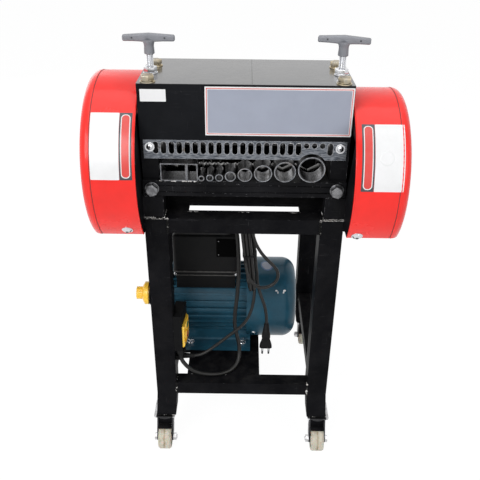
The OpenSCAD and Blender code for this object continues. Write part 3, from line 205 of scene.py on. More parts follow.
def new_group(name, inputs, outputs):
    """An empty node group with named float inputs and outputs."""
    group = bpy.data.node_groups.new(name, "ShaderNodeTree")
    for label, default in inputs:
        socket = group.interface.new_socket(label, in_out="INPUT", socket_type="NodeSocketFloat")
        socket.default_value = default
    for label in outputs:
        group.interface.new_socket(label, in_out="OUTPUT", socket_type="NodeSocketFloat")
    return group, group.nodes.new("NodeGroupInput"), group.nodes.new("NodeGroupOutput")


def group_edge_wear():
    """Masks the outer edges, broken up by noise."""
    group, given, result = new_group(
        "Edge wear", [("Width", 0.001), ("Breakup", 90.0), ("Amount", 0.5)], ["Mask"]
    )
    rounded = put(group, "ShaderNodeBevel", {"Radius": given.outputs["Width"]}, samples=4).outputs[0]
    flat = put(group, "ShaderNodeNewGeometry").outputs["Normal"]
    agree = put(group, "ShaderNodeVectorMath", {0: rounded, 1: flat}, operation="DOT_PRODUCT")
    edge = ramp(group, agree.outputs["Value"], 0.99, 0.80)
    patches = noise(group, place_of(group), given.outputs["Breakup"], 5.0, 0.65)
    limit = sums(group, "SUBTRACT", 0.85, sums(group, "MULTIPLY", given.outputs["Amount"], 0.6))
    broken = ramp(group, sums(group, "SUBTRACT", patches, limit), 0.0, 0.07)
    group.links.new(sums(group, "MULTIPLY", edge, broken, True), result.inputs["Mask"])
    return group


def group_grain():
    """Fine lumps for the bump and broad patches for the colour."""
    group, given, result = new_group("Surface grain", [("Scale", 400.0), ("Patch scale", 12.0)],
                                     ["Height", "Patches"])
    place = place_of(group)
    group.links.new(noise(group, place, given.outputs["Scale"], 3.0), result.inputs["Height"])
    group.links.new(noise(group, place, given.outputs["Patch scale"], 4.0, 0.6), result.inputs["Patches"])
    return group


def group_dust():
    """Masks dust that settles on faces that look up, and in patches."""
    group, given, result = new_group("Settled dust", [("Amount", 0.3), ("Scale", 35.0)], ["Mask"])
    normal = put(group, "ShaderNodeNewGeometry").outputs["Normal"]
    up = put(group, "ShaderNodeSeparateXYZ", {0: normal}).outputs["Z"]
    facing = ramp(group, up, -0.2, 1.0, 0.15, 1.0)
    clouds = noise(group, place_of(group), given.outputs["Scale"], 6.0, 0.7)
    dusty = sums(group, "MULTIPLY", facing, ramp(group, clouds, 0.42, 0.72))
    group.links.new(sums(group, "MULTIPLY", dusty, given.outputs["Amount"], True), result.inputs["Mask"])
    return group


def group_scratches():
    """Masks thin scratches that run along X, with a second set at a slant."""
    group, given, result = new_group("Scratches", [("Scale", 60.0), ("Amount", 0.5)], ["Mask"])
    sets = []
    for stretch, turn in (((0.5, 14.0, 14.0), 0.0), ((9.0, 9.0, 0.4), 0.5)):
        coords = put(group, "ShaderNodeTexCoord").outputs["Object"]
        turned = put(
            group, "ShaderNodeMapping", {"Vector": coords, "Scale": stretch, "Rotation": (turn, turn, 0.0)}
        ).outputs[0]
        lines = noise(group, turned, given.outputs["Scale"], 2.0)
        sets.append(ramp(group, lines, 0.70, 0.74))
    both = sums(group, "MAXIMUM", sets[0], sets[1])
    gone = ramp(group, noise(group, place_of(group), 14.0, 2.0), 0.45, 0.62)
    faint = sums(group, "MULTIPLY", both, gone)
    group.links.new(sums(group, "MULTIPLY", faint, given.outputs["Amount"], True), result.inputs["Mask"])
    return group


GROUPS = {
    "edge wear": group_edge_wear,
    "grain": group_grain,
    "dust": group_dust,
    "scratches": group_scratches,
}
made_groups = {}


def use_group(tree, name, **inputs):
    """Places one of the node groups, made on its first use, with its inputs set."""
    if name not in made_groups:
        made_groups[name] = GROUPS[name]()
    node = tree.nodes.new("ShaderNodeGroup")
    node.node_tree = made_groups[name]
    for label, value in inputs.items():
        node.inputs[label.replace("_", " ").capitalize()].default_value = value
    return node


def start_material(name, **constants):
    """A material with its Principled shader, whose constants sit on its own sockets."""
    material = bpy.data.materials.new(name)
    material.use_nodes = True
    tree = material.node_tree
    shader = tree.nodes["Principled BSDF"]
    for label, value in constants.items():
        shader.inputs[label.replace("_", " ")].default_value = value
    return material, tree, shader


def raise_bumps(tree, shader, *layers):
    """Chains Bump nodes: each layer is a height and a distance in metres."""
    normal = None
    for height, distance in layers:
        inputs = {"Height": height, "Distance": distance, "Strength": 1.0}
        if normal is not None:
            inputs["Normal"] = normal
        normal = put(tree, "ShaderNodeBump", inputs).outputs[0]
    tree.links.new(normal, shader.inputs["Normal"])


DUST = (0.42, 0.40, 0.37)


def painted(name, paint, under=(0.30, 0.30, 0.31), rough=0.4, wear=0.5, wear_width=0.001, dust=0.2,
            lumps=0.00012, lump_scale=260.0, uneven=0.25, scratches=0.2, coat=0.0, orange_peel=0.0,
            patch=14.0, ior=1.5):
    """Paint over metal: uneven coat, worn edges, scratches and dust."""
    material, tree, shader = start_material(name, Coat_Weight=coat, Coat_Roughness=0.08, IOR=ior)
    grain = use_group(tree, "grain", scale=lump_scale, patch_scale=patch)
    worn = use_group(tree, "edge wear", width=wear_width, breakup=110.0, amount=wear).outputs[0]
    scored = use_group(tree, "scratches", scale=70.0, amount=scratches).outputs[0]
    dusty = use_group(tree, "dust", amount=dust).outputs[0]
    patches = ramp(tree, grain.outputs["Patches"], 0.3, 0.7)
    thin = tuple(min(1.0, c * (1.0 + uneven) + 0.004 * uneven) for c in paint)
    thick = tuple(c * (1.0 - uneven * 0.5) for c in paint)
    colour = blend_colour(tree, patches, thick, thin)
    bare = sums(tree, "MAXIMUM", worn, sums(tree, "MULTIPLY", scored, 0.5), True)
    colour = blend_colour(tree, bare, colour, under)
    colour = blend_colour(tree, dusty, colour, DUST)
    tree.links.new(colour, shader.inputs["Base Color"])
    tree.links.new(sums(tree, "MULTIPLY", bare, 0.85), shader.inputs["Metallic"])
    roughness = ramp(tree, grain.outputs["Patches"], 0.25, 0.75, rough * 0.8, rough * 1.25)
    roughness = sums(tree, "ADD", roughness, sums(tree, "MULTIPLY", dusty, 0.4), True)
    tree.links.new(roughness, shader.inputs["Roughness"])
    layers = [(grain.outputs["Height"], lumps)]
    if orange_peel:
        layers.append((noise(tree, place_of(tree), 90.0, 1.0), orange_peel))
    layers.append((sums(tree, "SUBTRACT", 1.0, bare), 0.00008))
    raise_bumps(tree, shader, *layers)
    return material


def bare_metal(name, tone, dark, rough=0.3, stretch=(1.0, 1.0, 1.0), line_scale=300.0, line_depth=0.00003,
               stain=(0.18, 0.13, 0.08), stains=0.2, worn=(0.8, 0.8, 0.82), wear=0.4, oiled=None):
    """Machined or plated metal: tool lines, tarnish, stains and bright edges."""
    material, tree, shader = start_material(name, Metallic=1.0)
    lines = noise(tree, place_of(tree, stretch), line_scale, 2.0)
    grain = use_group(tree, "grain", scale=500.0, patch_scale=30.0)
    patches = ramp(tree, grain.outputs["Patches"], 0.3, 0.72)
    colour = blend_colour(tree, patches, tone, dark)
    colour = blend_colour(tree, sums(tree, "MULTIPLY", ramp(tree, lines, 0.35, 0.65), 0.35), colour, worn)
    grime = noise(tree, place_of(tree), 55.0, 6.0, 0.7)
    grimy = sums(tree, "MULTIPLY", ramp(tree, grime, 0.55, 0.72), stains, True)
    colour = blend_colour(tree, grimy, colour, stain)
    bright = use_group(tree, "edge wear", width=0.0006, breakup=150.0, amount=wear).outputs[0]
    colour = blend_colour(tree, bright, colour, worn)
    # Painted shade: where asked, the metal inside the head is darkened, for the shade there.
    if oiled is not None:
        shade = blend_colour(tree, patches, (0.05, 0.048, 0.045), (0.02, 0.019, 0.018))
        colour = blend_colour(tree, oiled(tree), colour, shade)
    tree.links.new(colour, shader.inputs["Base Color"])
    roughness = ramp(tree, grain.outputs["Patches"], 0.25, 0.75, rough * 0.75, rough * 1.3)
    roughness = sums(tree, "ADD", roughness, sums(tree, "MULTIPLY", grimy, 0.4), True)
    tree.links.new(roughness, shader.inputs["Roughness"])
    raise_bumps(tree, shader, (lines, line_depth), (grain.outputs["Height"], 0.00002))
    return material


def moulded(name, colour, rough=0.45, texture=0.00004, texture_scale=900.0, scuffs=0.3, dust=0.15, dark=0.6,
            coat=0.0, ior=1.5):
    """Moulded plastic: fine mould texture, rubbed edges, finger marks and dust."""
    material, tree, shader = start_material(name, Coat_Weight=coat, IOR=ior)
    grain = use_group(tree, "grain", scale=texture_scale, patch_scale=25.0)
    patches = ramp(tree, grain.outputs["Patches"], 0.3, 0.7)
    tone = blend_colour(tree, patches, tuple(c * (1.0 - 0.25 * dark) for c in colour), colour)
    rubbed = use_group(tree, "edge wear", width=0.0008, breakup=130.0, amount=scuffs).outputs[0]
    light = tuple(c * 0.7 + 0.12 for c in colour)
    tone = blend_colour(tree, sums(tree, "MULTIPLY", rubbed, 0.6), tone, light)
    dusty = use_group(tree, "dust", amount=dust).outputs[0]
    tone = blend_colour(tree, dusty, tone, DUST)
    tree.links.new(tone, shader.inputs["Base Color"])
    roughness = ramp(tree, grain.outputs["Patches"], 0.25, 0.75, rough * 0.85, rough * 1.2)
    roughness = sums(tree, "ADD", roughness, sums(tree, "MULTIPLY", dusty, 0.3), True)
    tree.links.new(roughness, shader.inputs["Roughness"])
    raise_bumps(tree, shader, (grain.outputs["Height"], texture))
    return material


def by_place(name, near, far, test):
    """Two metal finishes on one node, told apart by where the metal is."""
    material, tree, shader = start_material(name, Metallic=1.0)
    grain = use_group(tree, "grain", scale=450.0, patch_scale=60.0)
    spots = noise(tree, place_of(tree), 160.0, 5.0, 0.7)
    split = put(tree, "ShaderNodeSeparateXYZ", {0: put(tree, "ShaderNodeTexCoord").outputs["Object"]})
    mask = test(tree, split)
    first = blend_colour(tree, ramp(tree, grain.outputs["Patches"], 0.3, 0.7), near[0], near[1])
    second = blend_colour(tree, ramp(tree, spots, 0.4, 0.65), far[0], far[1])
    tone = blend_colour(tree, mask, first, second)
    bright = use_group(tree, "edge wear", width=0.0006, breakup=150.0, amount=0.45).outputs[0]
    tone = blend_colour(tree, bright, tone, (0.75, 0.75, 0.76))
    tree.links.new(tone, shader.inputs["Base Color"])
    tree.links.new(ramp(tree, spots, 0.3, 0.7, 0.22, 0.48), shader.inputs["Roughness"])
    raise_bumps(tree, shader, (grain.outputs["Height"], 0.00003), (spots, 0.00004))
    return material


def paint(name):
    """A colour of the paint properties."""
    return tuple(getattr(bpy.context.scene.stripper_paint, name))


def frame_black():
    return painted("Brushed black paint", paint("frame_black"), rough=0.42, wear=0.42, wear_width=0.0012,
                   dust=0.03, lumps=0.00022, lump_scale=170.0, uneven=0.5, scratches=0.25, patch=9.0,
                   ior=1.07)


def head_black():
    return painted("Head black paint", paint("frame_black"), rough=0.5, wear=0.5, wear_width=0.0014,
                   dust=0.03, lumps=0.00035, lump_scale=230.0, uneven=0.6, scratches=0.2, patch=16.0,
                   ior=1.13)


def top_gloss():
    return painted("Gloss black plate", (0.016, 0.016, 0.018), rough=0.2, wear=0.4, wear_width=0.0011,
                   dust=0.10, lumps=0.00004, lump_scale=320.0, uneven=0.2, scratches=0.15, coat=0.5,
                   orange_peel=0.00012)


def cover_black():
    return painted("Front cover paint", (0.006, 0.0065, 0.008), rough=0.42, wear=0.35, wear_width=0.0009,
                   dust=0.01, lumps=0.00010, lump_scale=420.0, uneven=0.3, scratches=0.1, ior=1.14)


def across_wheel(tree, split):
    """The distance from the middle of the nearest wheel, along its axle."""
    aside = sums(tree, "ABSOLUTE", split.outputs["X"])
    return sums(tree, "ABSOLUTE", sums(tree, "SUBTRACT", aside, CASTER_X * MM))


def caster_black():
    """Black forks and plates, with bright bolt ends outside the forks."""
    def outside_fork(tree, split):
        return ramp(tree, across_wheel(tree, split), 0.0170, 0.0172)

    fork = ((0.030, 0.030, 0.032), (0.055, 0.055, 0.058))
    bolts = ((0.62, 0.62, 0.64), (0.42, 0.41, 0.40))
    return by_place("Caster steel", fork, bolts, outside_fork)


def wheel_nylon():
    """Cream nylon with a brown moulding line round the tread and grime from the floor."""
    material, tree, shader = start_material("Wheel nylon", Subsurface_Weight=0.15, Subsurface_Scale=0.004,
                                            Specular_IOR_Level=0.45)
    split = put(tree, "ShaderNodeSeparateXYZ", {0: put(tree, "ShaderNodeTexCoord").outputs["Object"]})
    across = across_wheel(tree, split)
    spots = noise(tree, place_of(tree), 120.0, 6.0, 0.7)
    streak = noise(tree, place_of(tree, (3.0, 1.0, 1.0)), 45.0, 5.0, 0.65)
    tone = blend_colour(tree, ramp(tree, streak, 0.35, 0.7), (0.66, 0.62, 0.52), (0.50, 0.46, 0.35))
    seam = sums(tree, "MULTIPLY", ramp(tree, across, 0.0030, 0.0002), ramp(tree, spots, 0.3, 0.6), True)
    tone = blend_colour(tree, seam, tone, (0.33, 0.23, 0.11))
    grime = sums(tree, "MULTIPLY", ramp(tree, spots, 0.52, 0.75), 0.6)
    tone = blend_colour(tree, grime, tone, (0.30, 0.26, 0.19))
    tree.links.new(tone, shader.inputs["Base Color"])
    tree.links.new(ramp(tree, spots, 0.3, 0.7, 0.32, 0.6), shader.inputs["Roughness"])
    raise_bumps(tree, shader, (spots, 0.00012), (ramp(tree, across, 0.0006, 0.0), 0.0003))
    return material


def zinc_plate():
    return bare_metal("Dull zinc plate", (0.085, 0.097, 0.12), (0.04, 0.047, 0.058), rough=0.3,
                      stretch=(1.0, 1.0, 6.0), line_scale=130.0, line_depth=0.00004,
                      stain=(0.07, 0.065, 0.06), stains=0.7, worn=(0.62, 0.64, 0.68), wear=0.95)


def tube_steel():
    return bare_metal("Blackened tube steel", (0.022, 0.022, 0.024), (0.010, 0.010, 0.011), rough=0.34,
                      stretch=(6.0, 1.0, 6.0), line_scale=120.0, line_depth=0.00005,
                      stain=(0.06, 0.035, 0.02), stains=0.6, worn=(0.42, 0.42, 0.44), wear=0.8)


def shade_inside_head(tree):
    """Where the rollers and blades lie inside the head: painted shade, as the metal there is darkened for the
    shade that falls on it.
    """
    split = put(tree, "ShaderNodeSeparateXYZ", {0: put(tree, "ShaderNodeTexCoord").outputs["Object"]})
    within = ramp(tree, sums(tree, "ABSOLUTE", split.outputs["X"]), 0.139, 0.137)
    return sums(tree, "MULTIPLY", within, ramp(tree, split.outputs["Z"], 0.53, 0.54))


def cut_steel():
    return bare_metal("Cut steel edge", (0.24, 0.255, 0.28), (0.09, 0.095, 0.105), rough=0.35, stains=0.6,
                      wear=0.3)


# Bright steel, with painted shade on the rollers and blades inside the head.
def screw_zinc():
    return bare_metal("Bright screw steel", (0.72, 0.73, 0.75), (0.52, 0.53, 0.55), rough=0.2,
                      stretch=(1.0, 8.0, 1.0), line_scale=220.0, line_depth=0.00002, stains=0.25, wear=0.5,
                      oiled=shade_inside_head)


def gear_steel():
    return bare_metal("Oiled gear steel", (0.20, 0.20, 0.205), (0.12, 0.12, 0.125), rough=0.34,
                      stretch=(6.0, 1.0, 1.0), line_scale=150.0, stain=(0.03, 0.024, 0.018), stains=0.8,
                      wear=0.6)


def bronze():
    return bare_metal("Oiled bronze", (0.56, 0.36, 0.15), (0.38, 0.23, 0.10), rough=0.3, stains=0.6,
                      worn=(0.8, 0.6, 0.32))


def cast_pulley():
    return bare_metal("Cast pulley iron", (0.10, 0.10, 0.105), (0.055, 0.055, 0.06), rough=0.5,
                      line_scale=420.0, line_depth=0.0001, stain=(0.16, 0.08, 0.04), stains=0.35,
                      worn=(0.5, 0.5, 0.51), wear=0.55)


def bolt_plating():
    """Yellow zinc on the head's top bolts, and blackened steel on those below the top plate."""
    def lower(tree, split):
        return ramp(tree, split.outputs["Z"], 0.765, 0.764)
    upper_bolts = ((0.52, 0.43, 0.27), (0.33, 0.31, 0.27))
    lower_bolts = ((0.26, 0.26, 0.27), (0.12, 0.12, 0.125))
    return by_place("Bolt plating", upper_bolts, lower_bolts, lower)


def red_gloss():
    return painted("Red gloss paint", paint("cover_red"), under=(0.28, 0.20, 0.19), rough=0.24, wear=0.25,
                   wear_width=0.0008, dust=0.02, lumps=0.00002, lump_scale=600.0, uneven=0.10, scratches=0.10,
                   coat=0.15, orange_peel=0.00010, ior=1.35)


def blue_enamel():
    return painted("Blue enamel", paint("motor_blue"), under=(0.42, 0.44, 0.46), rough=0.3, wear=0.38,
                   wear_width=0.0011, dust=0.04, lumps=0.00020, lump_scale=240.0, uneven=0.35, scratches=0.25,
                   patch=20.0, ior=1.3)


def black_plastic():
    return moulded("Black moulded plastic", (0.007, 0.007, 0.0075), rough=0.42, dust=0.02, ior=1.2)


def handle_paint():
    """Satin paint on a fine-grained casting, rubbed by hands."""
    return painted("Cast handle paint", paint("handle_grey"), under=(0.34, 0.34, 0.35), rough=0.42, wear=0.3,
                   wear_width=0.0009, dust=0.08, lumps=0.00018, lump_scale=520.0, uneven=0.2, scratches=0.12)


# Black plastic lighter than the box's own black: painted highlight on thin rims and lines, with real scuffs
# on their edges.
def rubbed_black():
    return moulded("Rubbed black rim", (0.045, 0.043, 0.040), rough=0.35, scuffs=0.6, dust=0.1)


def deep_black():
    return moulded("Deep black panel", (0.002, 0.002, 0.002), rough=0.6, scuffs=0.05, dust=0.0, ior=1.08)


def grey_box():
    return moulded("Switch box plastic", (0.005, 0.005, 0.0055), rough=0.5, scuffs=0.15, dust=0.01, ior=1.15)


def yellow_plastic():
    return moulded("Yellow plastic", paint("switch_yellow"), rough=0.36, dust=0.03, dark=0.3, scuffs=0.1,
                   coat=0.15)


def green_plastic():
    return moulded("Green button", (0.02, 0.16, 0.05), rough=0.35, dust=0.08, coat=0.2)


def red_plastic():
    return moulded("Red button", (0.34, 0.02, 0.015), rough=0.35, dust=0.08, coat=0.2)


def cord_rubber():
    """Smooth black cord jacket with a faint grain and finger marks."""
    return moulded("Cord jacket", (0.008, 0.0078, 0.0075), rough=0.36, texture=0.00003, texture_scale=500.0,
                   scuffs=0.1, dust=0.04, ior=1.35)


def belt_rubber():
    """Belt rubber with a woven cover."""
    material, tree, shader = start_material("Belt rubber", Specular_IOR_Level=0.3)
    place = place_of(tree)
    woven = {"Vector": place, "Scale": 260.0, "Distortion": 0.4}
    weave = put(tree, "ShaderNodeTexWave", woven, bands_direction="DIAGONAL")
    spots = noise(tree, place, 90.0, 5.0, 0.7)
    tone = blend_colour(tree, ramp(tree, spots, 0.35, 0.7), (0.016, 0.016, 0.017), (0.045, 0.043, 0.04))
    tone = blend_colour(tree, sums(tree, "MULTIPLY", weave.outputs["Fac"], 0.3), tone, (0.05, 0.05, 0.05))
    tree.links.new(tone, shader.inputs["Base Color"])
    tree.links.new(ramp(tree, spots, 0.3, 0.7, 0.55, 0.8), shader.inputs["Roughness"])
    raise_bumps(tree, shader, (weave.outputs["Fac"], 0.0001), (spots, 0.0001))
    return material


def label_stock(name, colour, rough=0.35):
    """Printed film on a sheet label: faint mottling, rubbed corners and a soft sheen."""
    material, tree, shader = start_material(name, Coat_Weight=0.25, Coat_Roughness=0.2)
    place = place_of(tree)
    clouds = noise(tree, place, 22.0, 5.0, 0.6)
    fibres = noise(tree, place, 900.0, 2.0)
    tone = blend_colour(tree, ramp(tree, clouds, 0.35, 0.7), colour, tuple(c * 0.93 for c in colour))
    rubbed = use_group(tree, "edge wear", width=0.0008, breakup=160.0, amount=0.3).outputs[0]
    tone = blend_colour(tree, rubbed, tone, (0.35, 0.34, 0.33))
    dusty = use_group(tree, "dust", amount=0.12, scale=60.0).outputs[0]
    tone = blend_colour(tree, dusty, tone, DUST)
    tree.links.new(tone, shader.inputs["Base Color"])
    tree.links.new(ramp(tree, clouds, 0.3, 0.7, rough * 0.85, rough * 1.2), shader.inputs["Roughness"])
    raise_bumps(tree, shader, (fibres, 0.00001), (clouds, 0.00015))
    return material


def label_pale():
    return label_stock("Pale label film", paint("label_pale"))


def label_white():
    return label_stock("White label film", (0.80, 0.80, 0.80))


def label_red():
    return label_stock("Red print", (0.66, 0.045, 0.035))


def label_blue():
    return label_stock("Blue print", (0.05, 0.13, 0.28))


# Dark print of the labels, also used as painted shade in screw sockets and slots.
def label_dark():
    return label_stock("Dark print", (0.035, 0.037, 0.045))


def weld_metal():
    """Bare weld with spatter, straw tint and black flakes of paint."""
    material, tree, shader = start_material("Weld metal", Metallic=0.9)
    place = place_of(tree)
    spots = noise(tree, place, 320.0, 5.0, 0.7)
    flakes = noise(tree, place, 110.0, 4.0, 0.6)
    tone = blend_colour(tree, ramp(tree, spots, 0.35, 0.65), (0.60, 0.60, 0.60), (0.34, 0.31, 0.28))
    split = put(tree, "ShaderNodeSeparateXYZ", {0: put(tree, "ShaderNodeTexCoord").outputs["Object"]})
    bare = sums(tree, "MULTIPLY", ramp(tree, split.outputs["Z"], 0.540, 0.543), 0.1)
    painted_over = ramp(tree, sums(tree, "SUBTRACT", flakes, bare), 0.38, 0.44)
    tone = blend_colour(tree, painted_over, tone, (0.006, 0.006, 0.006))
    tree.links.new(tone, shader.inputs["Base Color"])
    tree.links.new(ramp(tree, spots, 0.3, 0.7, 0.28, 0.6), shader.inputs["Roughness"])
    raise_bumps(tree, shader, (spots, 0.0004), (flakes, 0.0002))
    return material


FINISHES = {
    "black_frame": frame_black, "dark_head": head_black, "gloss_plate": top_gloss, "front_panel": cover_black,
    "caster_steel": caster_black, "nylon": wheel_nylon, "zinc": zinc_plate, "dark_zinc": tube_steel,
    "yellow_zinc": bolt_plating, "black_handle": handle_paint, "bright_steel": screw_zinc,
    "gear_steel": gear_steel, "bronze": bronze, "cast_pulley": cast_pulley, "red_cover": red_gloss,
    "blue_motor": blue_enamel, "black_plastic": black_plastic, "belt_rubber": belt_rubber,
    "grey_box": grey_box, "yellow_plastic": yellow_plastic, "green_plastic": green_plastic,
    "red_plastic": red_plastic, "cord_rubber": cord_rubber, "label_pale": label_pale,
    "label_white": label_white, "label_red": label_red, "label_dark": label_dark, "label_blue": label_blue,
    "rubbed_black": rubbed_black, "cut_steel": cut_steel, "deep_black": deep_black, "weld_metal": weld_metal,
}
made_finishes = {}


def finish_of(name):
    """The material of a finish, made on its first use."""
    if name not in made_finishes:
        made_finishes[name] = FINISHES[name]()
    return made_finishes[name]


# ---- shapes, in millimetres until a piece is finished ----


def facing(direction, at, turn=0.0):
    """A matrix that stands a part's Z axis along a direction at a place."""
    swing = Vector(direction).to_track_quat("Z", "Y").to_matrix().to_4x4()
    return Matrix.Translation(at) @ swing @ Matrix.Rotation(turn, 4, "Z")


def join(bm, part, place=None, index=0):
    """Adds a finished part to a piece, put in its place."""
    bmesh.ops.remove_doubles(part, verts=part.verts, dist=0.001)
    bmesh.ops.recalc_face_normals(part, faces=part.faces)
    if place is not None:
        part.transform(place)
    for face in part.faces:
        face.material_index = index if index else face.material_index
    mesh = bpy.data.meshes.new("part")
    part.to_mesh(mesh)
    part.free()
    bm.from_mesh(mesh)
    bpy.data.meshes.remove(mesh)


def soften(part, edges, width, segments=2):
    """Rounds the given edges."""
    bmesh.ops.bevel(part, geom=edges, affect="EDGES", offset=width, offset_type="OFFSET", segments=segments,
                    profile=0.5, material=-1, clamp_overlap=True)


def slab(bm, low, high, round_by=0.0, index=0):
    """A box from corner to corner, with softened edges."""
    part = bmesh.new()
    low, high = Vector(low), Vector(high)
    size = high - low
    place = Matrix.Translation((low + high) / 2) @ Matrix.Diagonal((*size, 1.0))
    bmesh.ops.create_cube(part, size=1.0, matrix=place)
    if round_by:
        soften(part, part.edges[:], round_by)
    join(bm, part, None, index)


def rod(bm, start, end, r, r_end=None, segments=32, round_by=0.0, index=0):
    """A round bar or cone between two places."""
    start, end = Vector(start), Vector(end)
    part = bmesh.new()
    bmesh.ops.create_cone(part, cap_ends=True, cap_tris=False, segments=segments, radius1=r,
                          radius2=r if r_end is None else r_end, depth=(end - start).length)
    if round_by:
        soften(part, [e for e in part.edges if len(e.link_faces) == 2 and e.calc_face_angle() > 0.8],
               round_by)
    join(bm, part, facing(end - start, (start + end) / 2), index)


def turned(bm, profile, place, steps=48, closed=False, index=0):
    """Spins a profile of radius and height round the Z axis of its place."""
    part = bmesh.new()
    points = [part.verts.new((r, 0.0, z)) for r, z in profile]
    pairs = list(zip(points, points[1:])) + ([(points[-1], points[0])] if closed else [])
    edges = [part.edges.new(pair) for pair in pairs]
    bmesh.ops.spin(part, geom=points + edges, cent=(0, 0, 0), axis=(0, 0, 1), angle=2 * math.pi, steps=steps,
                   use_merge=True)
    join(bm, part, place, index)


def hexagon(bm, place, across_flats, height, index=0):
    """A hexagon head or nut with chamfered corners."""
    part = bmesh.new()
    r = across_flats / 2 / math.cos(math.pi / 6)
    bmesh.ops.create_cone(part, cap_ends=True, cap_tris=False, segments=6, radius1=r, radius2=r, depth=height,
                          matrix=Matrix.Translation((0, 0, height / 2)))
    soften(part, [e for e in part.edges if e.calc_face_angle() > 1.2], 0.7)
    join(bm, part, place, index)


def bead(bm, start, end, width, step=2.6, squash=(1.0, 1.0, 1.0)):
    """A weld bead: overlapping blobs along a line, a little uneven."""
    start, end = Vector(start), Vector(end)
    count = max(2, int((end - start).length / step))
    for i in range(count + 1):
        part = bmesh.new()
        bmesh.ops.create_icosphere(part, subdivisions=2, radius=width / 2)
        sway = math.sin(i * 2.3 + start.x * 0.7 + start.z) * width * 0.10
        size = 1.0 + 0.16 * math.sin(i * 1.7 + start.y)
        at = start.lerp(end, i / count) + Vector((sway * 0.3, sway * 0.3, sway))
        shape = Matrix.Diagonal((squash[0] * size, squash[1] * size, squash[2] * size, 1))
        join(bm, part, Matrix.Translation(at) @ shape)


def sheet_outline(w, h, corner):
    """A flat rounded rectangle in X and Y, its middle at the origin."""
    part = bmesh.new()
    corners = [part.verts.new((x * w / 2, y * h / 2, 0.0)) for x, y in ((-1, -1), (1, -1), (1, 1), (-1, 1))]
    part.faces.new(corners)
    if corner:
        bmesh.ops.bevel(part, geom=part.verts[:], affect="VERTICES", offset=corner, offset_type="OFFSET",
                        segments=5, profile=0.5, material=-1)
    return part


def thicken(part, thickness):
    """Raises a flat outline into a thin sheet."""
    top = bmesh.ops.extrude_face_region(part, geom=part.faces[:])
    verts = [v for v in top["geom"] if isinstance(v, bmesh.types.BMVert)]
    bmesh.ops.translate(part, verts=verts, vec=(0, 0, thickness))


def slice_along(part, h, count):
    """Cuts a flat part across its length so that it can be wrapped."""
    for i in range(1, count):
        at = -h / 2 + h * i / count
        bmesh.ops.bisect_plane(part, geom=part.verts[:] + part.edges[:] + part.faces[:], plane_co=(0, at, 0),
                               plane_no=(0, 1, 0))


def wrap(bm, part, cover, x, angle, lift, index=0):
    """Wraps a flat part round a cover: its X along the axis, its Y round the drum."""
    r = cover["r"]
    for v in part.verts:
        a = angle + v.co.y / r
        out = r + lift + v.co.z
        v.co = Vector((x + v.co.x, cover["y"] + out * math.cos(a), cover["z"] + out * math.sin(a)))
    join(bm, part, None, index)


def finish_piece(bm, name, finishes, body, round_over=35.0):
    """Turns a piece built in millimetres into an object that rides on its body."""
    bmesh.ops.scale(bm, vec=(MM, MM, MM), verts=bm.verts)
    mesh = bpy.data.meshes.new(name)
    bm.to_mesh(mesh)
    bm.free()
    finishes = [finishes] if isinstance(finishes, str) else finishes
    for finish in finishes:
        mesh.materials.append(finish_of(finish))
    mesh.polygons.foreach_set("use_smooth", [True] * len(mesh.polygons))
    mesh.set_sharp_from_angle(angle=math.radians(round_over))
    piece = bpy.data.objects.new(name, mesh)
    bpy.context.scene.collection.objects.link(piece)
    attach(piece, body)
    return piece


def cord_curve(name, points, diameter, body):
    """A round cord along a smooth line through its points, in metres."""
    curve = bpy.data.curves.new(name, "CURVE")
    curve.dimensions = "3D"
    curve.bevel_depth = diameter / 2
    curve.bevel_resolution = 5
    curve.resolution_u = 6
    curve.use_fill_caps = True
    spline = curve.splines.new("BEZIER")
    spline.bezier_points.add(len(points) - 1)
    for knot, point in zip(spline.bezier_points, points):
        knot.co = point
        knot.handle_left_type = knot.handle_right_type = "AUTO"
    curve.materials.append(finish_of("cord_rubber"))
    piece = bpy.data.objects.new(name, curve)
    bpy.context.scene.collection.objects.link(piece)
    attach(piece, body)
    return piece


# ---- cord routes, as the solids have them, in metres ----

MAINS_EXIT = (-0.098, -0.1245, 0.216)
MAINS_ROUTE = [
    MAINS_EXIT, (-0.084, -0.123, 0.218), (-0.068, -0.120, 0.226), (-0.051, -0.117, 0.239),
    (-0.034, -0.115, 0.254), (-0.018, -0.1135, 0.268), (-0.003, -0.112, 0.282), (0.009, -0.1105, 0.299),
    (0.0165, -0.108, 0.318), (0.0208, -0.104, 0.337), (0.0222, -0.0975, 0.355), (0.0219, -0.0905, 0.370),
]
LOOP_ROUTE = [
    (0.0050, -0.1204, 0.4310), (0.0093, -0.1260, 0.4140), (0.0165, -0.1295, 0.3995),
    (0.0260, -0.1292, 0.3900), (0.0365, -0.1265, 0.3856), (0.0490, -0.1238, 0.3867),
    (0.0595, -0.1220, 0.3941), (0.0649, -0.1213, 0.4057), (0.0638, -0.1211, 0.4185),
    (0.0580, -0.1212, 0.4285), (0.0495, -0.1215, 0.4385), (0.0405, -0.1218, 0.4490),
    (0.0315, -0.1212, 0.4610), (0.0240, -0.1204, 0.4745), (0.0188, -0.1212, 0.4895),
]
PLUG_ROUTE = [
    (0.0276, -0.0885, 0.3770), (0.0300, -0.0920, 0.3635), (0.0338, -0.0970, 0.3515),
    (0.0384, -0.1015, 0.3400), (0.0426, -0.1050, 0.3280), (0.0456, -0.1070, 0.3145),
    (0.0473, -0.1080, 0.3000), (0.0477, -0.1080, 0.2835),
]
